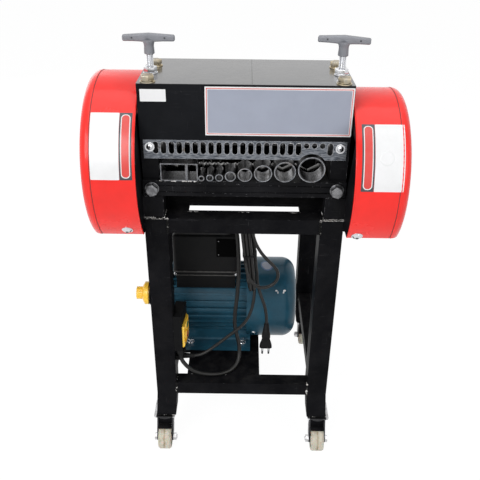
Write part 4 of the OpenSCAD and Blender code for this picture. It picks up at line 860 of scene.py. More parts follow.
MOTOR_ROUTE = [
    (-0.022, -0.008, 0.461), (-0.022, -0.010, 0.474), (-0.020, -0.021, 0.487), (-0.018, -0.039, 0.493),
    (-0.016, -0.057, 0.487), (-0.013, -0.069, 0.472), (-0.011, -0.073, 0.454), (-0.010, -0.074, 0.436),
    (-0.009, -0.075, 0.416), (-0.009, -0.076, 0.396), (-0.009, -0.077, 0.376), (-0.010, -0.078, 0.356),
    (-0.011, -0.079, 0.336), (-0.013, -0.080, 0.316), (-0.015, -0.081, 0.296), (-0.016, -0.082, 0.276),
    (-0.015, -0.083, 0.256), (-0.011, -0.085, 0.237), (-0.007, -0.088, 0.218), (-0.006, -0.095, 0.200),
    (-0.009, -0.106, 0.186), (-0.020, -0.118, 0.177), (-0.036, -0.127, 0.174), (-0.054, -0.133, 0.175),
    (-0.072, -0.137, 0.179), (-0.089, -0.141, 0.187), (-0.104, -0.143, 0.198), (-0.115, -0.144, 0.212),
    (-0.120, -0.145, 0.224), (-0.121, -0.145, 0.232),
]
# The plug, in millimetres.
PLUG_X = 47.7
PLUG_Y = -108.0
PLUG_TOP = 288.0
PIN_HALF_PITCH = 6.35
# The hank leans to the right as it hangs. Its folds turn from front to back.
HANK_TOP = (0.0043, 0.526)
HANK_Y = -0.1047
HANK_LEAN = math.tan(math.radians(5.5))
HANK_LOW, HANK_HIGH = 0.388, 0.5042
HANK_LAYERS = (0.0031, -0.0031, -0.0093, 0.0093)
HANK_WAIST = 0.0094


def hank_x(layer, z):
    """How far right a layer of the hank lies at a height."""
    return HANK_TOP[0] + (HANK_TOP[1] - z) * HANK_LEAN + layer


def run(layer, side, z_from, z_to, r):
    """Points along one run between two folds, drawn in towards the tie at the hank's middle."""
    points = []
    for i in range(1, 6):
        z = z_from + (z_to - z_from) * i / 6
        away = abs(2 * z - HANK_LOW - HANK_HIGH) / (HANK_HIGH - HANK_LOW)
        t = max(0.0, (away - 0.1) / 0.9)
        y = HANK_Y + side * (HANK_WAIST + (r - HANK_WAIST) * t * t * (3 - 2 * t))
        points.append((hank_x(layer, z), y, z))
    return points


def fold(centre_z, first, last, layer_from, layer_to, r):
    """Points round a fold, from one angle to another, easing from one layer to the next."""
    points = []
    for i in range(9):
        t = i / 8
        a = math.radians(first + (last - first) * t)
        layer = layer_from + (layer_to - layer_from) * t * t * (3 - 2 * t)
        z = centre_z + r * math.sin(a)
        points.append((hank_x(layer, z), HANK_Y + r * math.cos(a), z))
    return points


def mains_path(r):
    """The whole mains cord: up from the leg, round the hank, a loose loop, and down to the plug."""
    first, second, third, last = HANK_LAYERS
    path = list(MAINS_ROUTE)
    for layer, after in ((first, second), (second, third)):
        path += run(layer, 1, HANK_LOW, HANK_HIGH, r)
        path += fold(HANK_HIGH, 0, 180, layer, layer, r)
        path += run(layer, -1, HANK_HIGH, HANK_LOW, r)
        path += fold(HANK_LOW, 180, 360, layer, after, r)
    path += run(third, 1, HANK_LOW, HANK_HIGH, r)
    path += fold(HANK_HIGH, 0, 180, third, third, r)
    path += run(third, -1, HANK_HIGH, HANK_LOW, r)[:3]
    path += LOOP_ROUTE
    path += fold(HANK_HIGH, 180, 0, last, last, r)
    path += run(last, 1, HANK_HIGH, HANK_LOW, r)
    path.append((hank_x(last, HANK_LOW), HANK_Y + r, HANK_LOW))
    path += PLUG_ROUTE
    return path


class STRIPPER_OT_mains_cord(bpy.types.Operator):
    """Lays the mains cord from the leg into its hank and out to the plug"""

    bl_idname = "stripper.mains_cord"
    bl_label = "Mains cord"

    def execute(self, context):
        sizes = context.scene.stripper_cords
        d = sizes.mains_diameter
        path = mains_path(sizes.fold_radius)
        piece = cord_curve("mains_lead", path, d, "stand")
        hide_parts("mains_cord", "cord_hank")
        plug = build_plug()
        return {"FINISHED"}


def build_plug():
    """The two-pin plug: a ribbed boot, a flat body with finger grips and two pins."""
    bm = bmesh.new()
    down = Matrix.Translation((PLUG_X, PLUG_Y, PLUG_TOP)) @ Matrix.Rotation(math.pi, 4, "X")
    # The ribbed boot, from the cord down to the body.
    boot = [(0.0, 0.0), (4.1, 0.0)]
    for i in range(6):
        z = 1.2 + i * 3.1
        r = 4.2 + i * 0.42
        boot += [(r, z), (r + 0.5, z + 0.5), (r + 0.5, z + 1.7), (r - 0.4, z + 2.1)]
    boot += [(6.9, 20.4), (7.2, 24.0), (0.0, 24.0)]
    turned(bm, boot, down, 32)
    # The body widens towards the pins and has a waist for the fingers.
    part = bmesh.new()
    stations = ((22.0, 7.0, 4.2), (26.0, 8.3, 4.8), (33.0, 8.7, 5.1), (39.0, 7.9, 5.2), (45.0, 9.2, 5.5),
                (51.0, 11.2, 5.9), (56.0, 12.4, 6.1), (60.0, 12.6, 6.1))
    rings = []
    for z, half_w, half_t in stations:
        ring = bmesh.ops.create_circle(part, cap_ends=False, segments=24, radius=1.0)["verts"]
        for v in ring:
            a = math.atan2(v.co.y, v.co.x)
            c, s = math.cos(a), math.sin(a)
            x, y = math.copysign(half_w * abs(c) ** 0.55, c), math.copysign(half_t * abs(s) ** 0.5, s)
            v.co = Vector((x, y, z))
        rings.append(ring)
    edges = []
    for ring in rings:
        found = set()
        for v in ring:
            found.update(e for e in v.link_edges)
        edges.append(list(found))
    for lower, upper in zip(edges, edges[1:]):
        bmesh.ops.bridge_loops(part, edges=lower + upper)
    for ring in (edges[0], edges[-1]):
        bmesh.ops.holes_fill(part, edges=ring)
    join(bm, part, down)
    # Raised grip bars on both flat faces.
    for side in (-1, 1):
        for i in range(4):
            z = PLUG_TOP - 34.0 - i * 2.6
            y = PLUG_Y + side * 5.2
            slab(bm, (PLUG_X - 4.6, y - 0.5, z - 0.6), (PLUG_X + 4.6, y + 0.5, z + 0.6), 0.3)
    for side in (-1, 1):
        x = PLUG_X + side * PIN_HALF_PITCH
        rod(bm, (x, PLUG_Y, PLUG_TOP - 57.5), (x, PLUG_Y, PLUG_TOP - 77.5), 2.1, 2.1, 16, 0.6, 1)
    piece = finish_piece(bm, "lead_plug", ["black_plastic", "bright_steel"], "stand")
    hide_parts("plug")
    return piece


class STRIPPER_OT_motor_cable(bpy.types.Operator):
    """Runs the motor cable from the terminal box down to the switch"""

    bl_idname = "stripper.motor_cable"
    bl_label = "Motor cable"

    def execute(self, context):
        piece = cord_curve("motor_lead", MOTOR_ROUTE, context.scene.stripper_cords.motor_diameter, "stand")
        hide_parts("motor_cable")
        return {"FINISHED"}


def band(bm, w, h, corner, wall, height, place):
    """A flat strip bent into a closed rounded loop round the Z axis of its place."""
    part = sheet_outline(w, h, corner)
    inner = bmesh.ops.inset_region(part, faces=part.faces[:], thickness=wall, use_even_offset=True,
                                   use_boundary=True)
    bmesh.ops.delete(part, geom=[f for f in part.faces if f not in inner["faces"]], context="FACES_ONLY")
    thicken(part, height)
    join(bm, part, place)


class STRIPPER_OT_hank_tie(bpy.types.Operator):
    """Ties the hank round its middle and straps its upper folds to the front top rail"""

    bl_idname = "stripper.hank_tie"
    bl_label = "Hank tie"

    def execute(self, context):
        bm = bmesh.new()
        # A twisted tie round the middle of the hank.
        lean = Matrix.Rotation(math.radians(-5.5), 4, "Y")
        place = Matrix.Translation((hank_x(0.0, 0.447) / MM, HANK_Y / MM, 445.2)) @ lean
        band(bm, 26.6, 26.8, 6.5, 0.8, 3.6, place)
        for i in range(7):
            a = math.radians(50 * i)
            at = place @ Vector((-9.0 + 0.5 * math.cos(a), -13.6 - i * 0.4, 1.8 - 1.5 * i))
            part = bmesh.new()
            bmesh.ops.create_icosphere(part, subdivisions=2, radius=1.25)
            join(bm, part, Matrix.Translation(at) @ Matrix.Diagonal((1.0, 1.0, 1.3, 1.0)))
        # A strap round the upper folds, and the saddle on the rail that it passes through.
        a = math.radians(150)
        at = (hank_x(0.0, 0.5136) / MM, HANK_Y / MM + 18.9 * math.cos(a), HANK_HIGH / MM + 18.9 * math.sin(a))
        band(bm, 27.4, 8.6, 3.4, 0.9, 5.0, Matrix.Translation(at) @ Matrix.Rotation(a, 4, "X"))
        slab(bm, (-0.7, -126.45, 512.6), (9.3, -124.2, 525.0), 0.7)
        rod(bm, (4.3, -124.6, 521.0), (4.3, -122.9, 521.0), 2.6, 2.1, 20, 0.4)
        finish_piece(bm, "hank_tie", "black_plastic", "stand")
        return {"FINISHED"}


# ---- labels ----


class STRIPPER_OT_labels(bpy.types.Operator):
    """Sticks bare labels on both covers, the head's front and the fan cover"""

    bl_idname = "stripper.labels"
    bl_label = "Labels"

    def execute(self, context):
        thick = context.scene.stripper_trim.label_thickness / MM
        for name, cover, side, angle, tall, panel, strip in (
            ("left", LEFT_COVER, -1, 152.5, 108.0, (197.6, 243.4), (177.2, 197.2)),
            ("right", RIGHT_COVER, 1, 150.7, 108.0, (202.4, 249.0), (182.0, 202.0)),
        ):
            bm = bmesh.new()
            a = math.radians(angle)
            for (x0, x1), corner, lift, index, h in (
                (panel, 1.5, 0.12, 0, tall), (strip, 0.8, 0.12, 1, tall),
                ((strip[0] + 2.6, strip[1] - 2.6), 6.6, 0.12 + thick, 0, tall - 6.0),
                ((strip[0] + 4.0, strip[1] - 4.0), 5.4, 0.12 + 1.6 * thick, 2, tall - 9.0),
            ):
                part = sheet_outline(x1 - x0, h, corner)
                thicken(part, thick)
                slice_along(part, h, 24)
                wrap(bm, part, cover, side * (x0 + x1) / 2, a, lift, index)
            finish_piece(bm, "label_" + name, ["label_white", "label_dark", "label_red"], "stand", 25.0)
        # The head of a cover bolt pushes the right label up from beneath.
        bm = bmesh.new()
        part = bmesh.new()
        bmesh.ops.create_circle(part, cap_ends=True, segments=40, radius=11.6)
        for r_in, up in ((10.8, 0.55), (9.6, 0.25), (7.0, 0.12)):
            top = max(part.faces, key=lambda f: f.calc_center_median().z)
            bmesh.ops.inset_region(part, faces=[top], thickness=11.6 - r_in if up > 0.5 else 1.2,
                                   use_boundary=True)
            bmesh.ops.translate(part, verts=top.verts, vec=(0, 0, up))
        wrap(bm, part, RIGHT_COVER, 220.6, math.radians(151.4), 0.12 + thick)
        finish_piece(bm, "label_boss", "label_white", "stand", 40.0)
        # The large front label: a pale panel in a fine red line, with a white margin.
        bm = bmesh.new()
        layers = (
            (233.0, 79.0, 0.0, 0), (228.6, 74.6, thick, 1), (226.4, 72.4, 1.3 * thick, 0),
            (224.4, 70.4, 1.6 * thick, 2),
        )
        for w, h, lift, index in layers:
            part = sheet_outline(w, h, 0.8)
            thicken(part, thick)
            join(bm, part, facing((0, -1, 0), (52.8, HEAD_Y - 0.1 - lift, 733.9)), index)
        finish_piece(bm, "label_front", ["label_white", "label_red", "label_pale"], "stand", 25.0)
        bm = bmesh.new()
        part = sheet_outline(40.5, 19.5, 1.0)
        thicken(part, thick)
        join(bm, part, facing((0, -1, 0), (-144.6, HEAD_Y - 0.1, 758.5)))
        finish_piece(bm, "label_small", "label_white", "stand", 25.0)
        # The oval sticker on the fan cover.
        bm = bmesh.new()
        for w, h, lift, index in ((25.0, 31.0, 0.1, 0), (19.0, 24.0, 0.1 + thick, 1)):
            part = bmesh.new()
            bmesh.ops.create_circle(part, cap_ends=True, segments=48, radius=0.5)
            bmesh.ops.scale(part, vec=(w, h, 1.0), verts=part.verts)
            tilt = Matrix.Rotation(math.radians(-24), 3, "Z")
            bmesh.ops.rotate(part, cent=(0, 0, 0), matrix=tilt, verts=part.verts)
            thicken(part, thick)
            slice_along(part, h, 16)
            wrap(bm, part, FAN_COVER, 49.5, math.radians(97.5), lift, index)
        finish_piece(bm, "label_oval", ["label_blue", "label_pale"], "stand", 25.0)
        return {"FINISHED"}


# ---- welds ----


class STRIPPER_OT_welds(bpy.types.Operator):
    """Lays weld beads where the stand's tubes, posts and plates meet"""

    bl_idname = "stripper.welds"
    bl_label = "Welds"

    def execute(self, context):
        w = context.scene.stripper_trim.weld_width / MM
        bm = bmesh.new()
        flat = (1.0, 0.45, 1.0)
        for side in (-1, 1):
            inner, outer = side * LEG_IN, side * LEG_OUT
            # Leg tops, front and back, where the cap and the rails are ground.
            for y in (STAND_FRONT + 0.4, STAND_BACK - 0.4):
                bead(bm, (inner, y, STAND_TOP - 0.6), (outer - side * 1.5, y, STAND_TOP - 0.6), w * 0.8, 2.2,
                     (1.0, 0.6, 0.5))
            for z0, z1 in ((STAND_TOP - 28, STAND_TOP), (LOW_RAIL_TOP - 28, LOW_RAIL_TOP)):
                for y in (STAND_FRONT, STAND_BACK):
                    bead(bm, (inner, y, z0 + 1), (inner, y, z1 - 1), w, 2.4, flat)
            for y in (STAND_FRONT + 14, STAND_BACK - 14):
                bead(bm, (inner, y - 12, LOW_RAIL_TOP), (inner, y + 12, LOW_RAIL_TOP), w, 2.4,
                     (0.9, 1.0, 0.5))
            # Side rails against the legs.
            for z in (STAND_TOP - 28, LOW_RAIL_TOP - 28):
                for y in (STAND_FRONT + 40, STAND_BACK - 40):
                    bead(bm, (side * 166, y, z + 2), (side * 166, y, z + 26), w, 2.4, (0.5, 1.0, 1.0))
                    bead(bm, (side * 138, y, z + 2), (side * 138, y, z + 26), w, 2.4, (0.5, 1.0, 1.0))
            # A line of weld round each post's foot.
            for y0, y1 in ((-151.5, -122.5), (-15.5, 13.5)):
                corners = [(side * 137.0, y0), (side * 172.0, y0), (side * 172.0, y1), (side * 137.0, y1)]
                for start, end in zip(corners, corners[1:] + corners[:1]):
                    bead(bm, (*start, STAND_TOP + 0.5), (*end, STAND_TOP + 0.5), w * 0.75, 2.6,
                         (0.8, 0.8, 0.7))
            # Caster plates under the feet.
            for y in (FRONT_LEG_Y, REAR_LEG_Y):
                for end in (-20.0, 20.0):
                    bead(bm, (side * 140, y + end, 80.4), (side * 176, y + end, 80.4), w * 0.7, 2.6,
                         (1.0, 0.7, 0.8))
        # Stitches along the motor plate and the deck.
        for x in (-96.0, -40.0, 20.0):
            bead(bm, (x - 7, -126.5, LOW_RAIL_TOP), (x + 7, -126.5, LOW_RAIL_TOP), w * 0.8, 2.4, (1, 1, 0.4))
            bead(bm, (x - 7, 181.5, LOW_RAIL_TOP), (x + 7, 181.5, LOW_RAIL_TOP), w * 0.8, 2.4, (1, 1, 0.4))
        for x in (-90.0, 0.0, 90.0):
            bead(bm, (x - 8, -126.5, STAND_TOP), (x + 8, -126.5, STAND_TOP), w * 0.8, 2.4, (1, 1, 0.4))
        # Tack welds that hold the channels on the feed table.
        for x in (-138.0, -118.0, -100.0, -92.0, -80.0):
            bead(bm, (x - 3, -154.3, 615.6), (x + 3, -154.3, 615.6), w * 0.7, 1.6, (1, 0.7, 0.7))
        finish_piece(bm, "weld_beads", "weld_metal", "stand", 60.0)
        return {"FINISHED"}


# ---- T-handles and pressure screws ----


class STRIPPER_OT_handles(bpy.types.Operator):
    """Shapes the cast T-handles and cuts the thread of their screws"""

    bl_idname = "stripper.handles"
    bl_label = "T-handles"

    def execute(self, context):
        pitch = context.scene.stripper_trim.thread_pitch / MM
        for name, side, turn in (("left", -1, 0.0), ("right", 1, -12.0)):
            turned_by = Matrix.Rotation(math.radians(turn), 4, "Z")
            place = Matrix.Translation((side * HANDLE_X, SHAFT_Y, 0)) @ turned_by
            bm = bmesh.new()
            part = bmesh.new()
            bmesh.ops.create_cube(part, size=1.0, matrix=Matrix.Diagonal((83.4, 12.0, 13.0, 1.0)))
            for x in (-34.0, -24.0, -14.0, -7.0, 0.0, 7.0, 14.0, 24.0, 34.0):
                bmesh.ops.bisect_plane(part, geom=part.verts[:] + part.edges[:] + part.faces[:],
                                       plane_co=(x, 0, 0), plane_no=(1, 0, 0))
            for v in part.verts:
                t = abs(v.co.x) / 42.0
                belly = 1.6 * max(0.0, 1.0 - t * 2.2)
                if v.co.z > 0:
                    v.co.z = 839.8 - 2.6 * t
                else:
                    v.co.z = 827.6 - belly
                v.co.y *= 1.0 - 0.18 * t
            soften(part, [e for e in part.edges if e.calc_face_angle(0.0) > 0.9], 2.6, 4)
            join(bm, part, place)
            hub = [(0.0, 808.1), (8.0, 808.1), (8.5, 808.8), (7.9, 820.0), (8.3, 823.5), (9.6, 827.0),
                   (9.6, 830.0), (0.0, 830.0)]
            turned(bm, hub, place, 40)
            # The parting line of the mould and the ejector marks near the ends.
            part = bmesh.new()
            slab(part, (-40.6, -0.2, 832.0), (40.6, 0.2, 837.4), 0.0)
            join(bm, part, place)
            for flat in (-1, 1):
                for x in (-26.0, 26.0):
                    inner, outer = Vector((x, flat * 5.1, 833.2)), Vector((x, flat * 5.55, 833.2))
                    rod(bm, place @ inner, place @ outer, 1.5, 1.5, 16, 0.0, 1)
            body = name + "_t_handle"
            piece = finish_piece(bm, name + "_t_grip", ["black_handle", "label_dark"], body, 30.0)
            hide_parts(name + "_handle")
            # The screw: a core with a plain end, and its thread spun round it.
            bm = bmesh.new()
            axis = Matrix.Translation((side * HANDLE_X, SHAFT_Y, 0))
            core = [(0.0, 697.6), (3.4, 697.6), (4.0, 698.4), (4.0, 705.3), (5.1, 705.6), (5.1, 822.0),
                    (0.0, 822.0)]
            turned(bm, core, axis, 28)
            part = bmesh.new()
            rise = [part.verts.new((r, 0.0, z)) for r, z in
                    ((5.05, 0.0), (5.92, pitch * 0.42), (5.92, pitch * 0.58), (5.05, pitch))]
            edges = [part.edges.new(pair) for pair in zip(rise, rise[1:])]
            turns = int((808.5 - 706.0) / pitch)
            steps = 20
            bmesh.ops.spin(part, geom=rise + edges, cent=(0, 0, 0), axis=(0, 0, 1),
                           dvec=(0, 0, pitch / steps), angle=2 * math.pi * turns, steps=steps * turns,
                           use_merge=False)
            join(bm, part, axis @ Matrix.Translation((0, 0, 706.0)))
            piece = finish_piece(bm, name + "_thread", "bright_steel", body, 40.0)
            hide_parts(name + "_screw")
        return {"FINISHED"}


# ---- fasteners ----


def washer(bm, place, r_in, r_out, low, high, index=0):
    """A flat washer with both outer edges rounded off."""
    outer = [(r_out - 0.3, low), (r_out, low + 0.3), (r_out, high - 0.3), (r_out - 0.3, high)]
    profile = [(r_in, low), *outer, (r_in, high)]
    turned(bm, profile, place, 40, True, index)


def spring_washer(bm, place, r_in, r_out, low, high, index=0):
    """A split ring: a section spun nearly all the way round."""
    part = bmesh.new()
    corners = ((r_in, 0, low), (r_out, 0, low), (r_out, 0, high), (r_in, 0, high))
    section = [part.verts.new(p) for p in corners]
    part.faces.new(section)
    bmesh.ops.spin(part, geom=part.faces[:], cent=(0, 0, 0), axis=(0, 0, 1), dvec=(0, 0, 0.02),
                   angle=math.radians(344), steps=36, use_merge=False)
    join(bm, part, place, index)


def bolt_stack(bm, place, af, head, index, washer_index, wide=1.28):
    """A flat washer, a spring washer and a chamfered head with a domed crown."""
    r = af / 2
    washer(bm, place, r * 0.5, r * wide, 0.05, 1.8, washer_index)
    spring_washer(bm, place, r * 0.62, r * 1.02, 1.85, 3.6, washer_index)
    hexagon(bm, place @ Matrix.Translation((0, 0, 3.6)), af, head, index)
    washer(bm, place, 0.4, r * 0.86, 3.6 + head - 0.2, 3.6 + head + 0.35, index)


class STRIPPER_OT_bolts(bpy.types.Operator):
    """Builds the bolts with their washers and the lock nuts of the pressure screws"""

    bl_idname = "stripper.bolts"
    bl_label = "Bolts"

    def execute(self, context):
        bm = bmesh.new()
        for side in (-1, 1):
            for y in (-138.5, -40.5):
                place = Matrix.Translation((side * 153.0, y, PLATE_TOP)) @ Matrix.Rotation(y * side, 4, "Z")
                bolt_stack(bm, place, 19.0, 7.4, 0, 0)
            twist = Matrix.Rotation(0.3 * side, 4, "Z")
            lock = Matrix.Translation((side * HANDLE_X, SHAFT_Y, PLATE_TOP)) @ twist
            washer(bm, lock, 6.6, 12.0, 0.05, 2.0, 1)
            part = bmesh.new()
            hexagon(part, Matrix.Translation((0, 0, 2.0)), 18.6, 8.8)
            join(bm, part, lock, 1)
            for y, look in ((STAND_FRONT, -1), (20.5, 1)):
                place = facing((0, look, 0), (side * 154.5, y, 602.0), 0.2 * side)
                bolt_stack(bm, place, 19.0, 7.0, 0, 0, 1.24)
            for x in (-111.0, 0.0):
                bolt_stack(bm, Matrix.Translation((x, MOTOR_Y + side * 62.0, 184.0)), 13.0, 5.2, 1, 1)
        piece = finish_piece(bm, "bolt_set", ["yellow_zinc", "bright_steel"], "stand", 30.0)
        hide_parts("frame_bolts")
        # Washers on the dome screws of the comb plate and the covers, with dark hexagons as painted shade in
        # their sockets, and dark bars as painted shade in the slots of the screws at the back.
        bm = bmesh.new()
        for side in (-1, 1):
            at = (side * 155.0, HEAD_Y, 673.5)
            washer(bm, facing((0, -1, 0), at), 3.2, 8.2, 0.02, 1.0)
            rod(bm, (at[0], HEAD_Y - 3.25, at[2]), (at[0], HEAD_Y - 3.75, at[2]), 2.3, 2.3, 6, 0.0, 1)
            for x in (-158.0, 158.0):
                for z in (697.0, 757.0):
                    rod(bm, (x, 14.4, z), (x, 16.6, z), 4.2, 3.4, 24, 0.5)
                    # A dark bar across the screw head: painted shade in its slot.
                    slab(bm, (x - 3.0, 16.5, z - 0.4), (x + 3.0, 16.75, z + 0.4), 0.0, 1)
        for cover, side, x, degrees in ((LEFT_COVER, -1, 198.0, 216.0), (RIGHT_COVER, 1, 189.0, 213.0)):
            a = math.radians(degrees)
            out = Vector((0, math.cos(a), math.sin(a)))
            at = Vector((side * x, cover["y"], cover["z"])) + out * cover["r"]
            washer(bm, facing(out, at), 4.0, 9.6, -0.5, 0.9)
            rod(bm, at + out * 4.7, at + out * 5.2, 2.6, 2.6, 6, 0.0, 1)
        finish_piece(bm, "dome_trim", ["bright_steel", "label_dark"], "stand", 35.0)
        return {"FINISHED"}


# ---- head ----


class STRIPPER_OT_head_trim(bpy.types.Operator):
    """Adds the cut edges of the comb and tubes, a dark flap as painted shade, and the top plate's black edge
    and painted reflection line
    """

    bl_idname = "stripper.head_trim"
    bl_label = "Head trim"

    def execute(self, context):
        # Sheared edges round the comb's slots and holes.
        bm = bmesh.new()
        for i in range(SLOT_COUNT):
            h, z = (SLOT_W, 678.15) if i in ROUND_SLOTS else (20.5, 672.25)
            band(bm, SLOT_W + 2.4, h + 2.4, SLOT_W / 2 + 1.15, 1.15, 0.3,
                 facing((0, -1, 0), (FIRST_SLOT_X + i * SLOT_PITCH, HEAD_Y - 0.02, z)))
        # Sawn and deburred mouths of the tubes and channels.
        for x, d in TUBES:
            mouth = facing((0, -1, 0), (x, MOUTH_Y - 0.02, TABLE_TOP + d / 2))
            band(bm, d - 0.1, d - 0.1, d / 2 - 0.1, 1.1, 0.3, mouth)
        for x, w in CHANNELS:
            mouth = facing((0, -1, 0), (x, MOUTH_Y - 0.02, TABLE_TOP + 15.3))
            band(bm, w - 0.3, CHANNEL_H - 0.3, 0.8, 0.7, 0.3, mouth)
        finish_piece(bm, "cut_edges", "cut_steel", "stand", 35.0)
        # A guessed dark rubber sheet under the rear tie bar: painted shade that keeps the gap behind the
        # rollers dark.
        bm = bmesh.new()
        slab(bm, (-136.4, 14.2, 556.0), (136.4, 16.6, 589.5), 0.5)
        for x in (-110.0, -40.0, 40.0, 110.0):
            rod(bm, (x, 16.5, 583.0), (x, 18.6, 583.0), 4.5, 3.6, 20, 0.5)
        finish_piece(bm, "outfeed_flap", "belt_rubber", "stand", 35.0)
        # The front edge of the top plate in black paint, and a light line across the plate: a painted
        # reflection edge.
        bm = bmesh.new()
        slab(bm, (-169.9, -148.57, 765.1), (169.9, -148.3, 776.3), 0.0)
        finish_piece(bm, "plate_edge", "front_panel", "stand", 30.0)
        bm = bmesh.new()
        slab(bm, (9.6, -145.2, 776.95), (10.4, 11.2, 777.14), 0.05)
        finish_piece(bm, "top_seam", "rubbed_black", "stand", 30.0)
        return {"FINISHED"}


# ---- casters ----


class STRIPPER_OT_casters(bpy.types.Operator):
    """Adds the ball race, the crown, the thread guard and the spokes of each caster"""

    bl_idname = "stripper.casters"
    bl_label = "Casters"

    def execute(self, context):
        for name, side in (("left", -1), ("right", 1)):
            x = side * CASTER_X
            bm = bmesh.new()
            race = [(17.0, 71.4), (18.6, 71.9), (19.0, 73.2), (18.6, 74.6), (17.0, 75.1)]
            turned(bm, race, Matrix.Translation((x, FRONT_LEG_Y, 0)), 40, True)
            finish_piece(bm, name + "_race", "bright_steel", "stand", 40.0)
            bm = bmesh.new()
            crown = [(18.05, 66.0), (19.6, 66.4), (20.4, 68.0), (19.4, 70.9), (18.05, 71.2)]
            turned(bm, crown, Matrix.Translation((x, FRONT_LEG_Y, 0)), 40, True)
            for arm in (-1, 1):
                face = x + arm * 17.05
                low, high = sorted((face, face + arm * 1.1))
                part = bmesh.new()
                slab(part, (low, -2.2, -16.0), (high, 2.2, 16.0), 0.5)
                lean = Matrix.Rotation(-0.55, 4, "X")
                join(bm, part, Matrix.Translation((0, FRONT_LEG_Y - 13.0, 47.5)) @ lean)
            finish_piece(bm, name + "_crown", "caster_steel", name + "_swivel", 40.0)
        front_y = FRONT_LEG_Y - SWIVEL_OFFSET
        guards = (
            ("left", -1, front_y, 100, 10, "left_swivel"), ("right", 1, front_y, 100, 10, "right_swivel"),
            ("rear_left", -1, REAR_LEG_Y, 140, 40, "stand"), ("rear_right", 1, REAR_LEG_Y, 140, 40, "stand"),
        )
        for name, side, y, first, last, body in guards:
            # A curved guard between the fork's arms keeps thread off the wheel.
            bm = bmesh.new()
            part = bmesh.new()
            rings = []
            for i in range(19):
                a = math.radians(first + (last - first) * i / 18)
                c, s = math.cos(a), math.sin(a)
                rings.append([part.verts.new((side * CASTER_X + dx, y + r * c, WHEEL_Z + r * s))
                              for dx, r in ((-14.0, 26.8), (14.0, 26.8), (14.0, 28.2), (-14.0, 28.2))])
            for a, b in zip(rings, rings[1:]):
                for i in range(4):
                    part.faces.new((a[i], a[(i + 1) % 4], b[(i + 1) % 4], b[i]))
            part.faces.new(rings[0])
            part.faces.new(reversed(rings[-1]))
            join(bm, part)
            front, top = (y - 16.0, 76.4) if body == "stand" else (y + 10.0, 68.3)
            slab(bm, (side * CASTER_X - 14.2, front, 51.2), (side * CASTER_X + 14.2, front + 32.0, top), 1.2)
            finish_piece(bm, name + "_guard", "black_frame", body, 40.0)
        wheels = (("left_wheel", -1, front_y), ("right_wheel", 1, front_y),
                  ("rear_left_roll", -1, REAR_LEG_Y), ("rear_right_roll", 1, REAR_LEG_Y))
        for body, side, y in wheels:
            bm = bmesh.new()
            for face in (-1, 1):
                for i in range(6):
                    part = bmesh.new()
                    low, high = sorted((face * 4.2, face * 10.4))
                    slab(part, (low, -1.1, 8.6), (high, 1.1, 18.4), 0.35)
                    hub = Matrix.Translation((side * CASTER_X, y, WHEEL_Z))
                    join(bm, part, hub @ Matrix.Rotation(math.radians(60 * i + 15), 4, "X"))
            finish_piece(bm, body + "_spokes", "nylon", body, 40.0)
        return {"FINISHED"}


# ---- motor ----


class STRIPPER_OT_motor_trim(bpy.types.Operator):
    """Adds the motor's cover screws, end bolts, gasket and rims, and painted highlights on the rims and the
    fan cover
    """

    bl_idname = "stripper.motor_trim"
    bl_label = "Motor trim"

    def execute(self, context):
        bm = bmesh.new()
        for i in range(4):
            a = math.radians(45 + 90 * i)
            at = (-153.2, MOTOR_Y + 63 * math.cos(a), MOTOR_Z + 63 * math.sin(a))
            hexagon(bm, facing((-1, 0, 0), at), 10.0, 4.0)
        for degrees in (90, 210, 330):
            a = math.radians(degrees)
            out = Vector((0, math.cos(a), math.sin(a)))
            at = Vector((23.2, MOTOR_Y, MOTOR_Z)) + out * (FAN_COVER_R - 0.2)
            rod(bm, at, at + out * 2.6, 4.0, 3.0, 24, 0.6)
        # Small screws at the corners of the terminal box's rim and of its front panel.
        for x in (-137.5, -15.0):
            rod(bm, (x, -36.4, 356.8), (x, -39.6, 356.8), 3.0, 2.2, 20, 0.5)
        finish_piece(bm, "motor_screws", "bright_steel", "stand", 35.0)
        bm = bmesh.new()
        for z in (403.0, 434.0):
            rod(bm, (-49.5, -38.3, z), (-49.5, -39.1, z), 1.3, 1.0, 16, 0.3)
        finish_piece(bm, "panel_pins", "gear_steel", "stand", 35.0)
        # The gasket between the terminal box and its lid, and the rims above and below it, lighter than the
        # box as a painted highlight.
        bm = bmesh.new()
        band(bm, 131.3, 110.8, 7.4, 2.0, 1.4, Matrix.Translation((BOX_X, BOX_Y, 359.3)))
        finish_piece(bm, "box_gasket", "belt_rubber", "stand", 35.0)
        bm = bmesh.new()
        for z in (352.4, 360.8):
            band(bm, 133.4, 112.8, 8.4, 2.6, 1.6, Matrix.Translation((BOX_X, BOX_Y, z)))
        for z in (353.0, 361.6):
            band(bm, 132.6, 112.0, 8.0, 2.4, 1.4, Matrix.Translation((BOX_X, BOX_Y, z)))
        finish_piece(bm, "box_rims", "rubbed_black", "stand", 35.0)
        bm = bmesh.new()
        part = sheet_outline(39.6, 40.6, 1.6)
        thicken(part, 0.3)
        join(bm, part, facing((0, -1, 0), (-34.0, -38.02, 418.5)))
        finish_piece(bm, "box_panel", "deep_black", "stand", 35.0)
        # Small white marks on the fan cover: painted highlights, standing for glints on its gloss paint.
        bm = bmesh.new()
        glints = ((68.8, 138.2, 4.2, 3.0), (71.8, 140.6, 1.8, 4.2), (85.6, 138.0, 5.4, 4.0),
                 (83.6, 140.4, 3.0, 4.6))
        for x, degrees, w, h in glints:
            part = sheet_outline(w, h, min(w, h) * 0.42)
            thicken(part, 0.12)
            wrap(bm, part, FAN_COVER, x, math.radians(degrees), 0.02)
        finish_piece(bm, "paint_chips", "label_white", "stand", 25.0)
        return {"FINISHED"}


# ---- switches ----


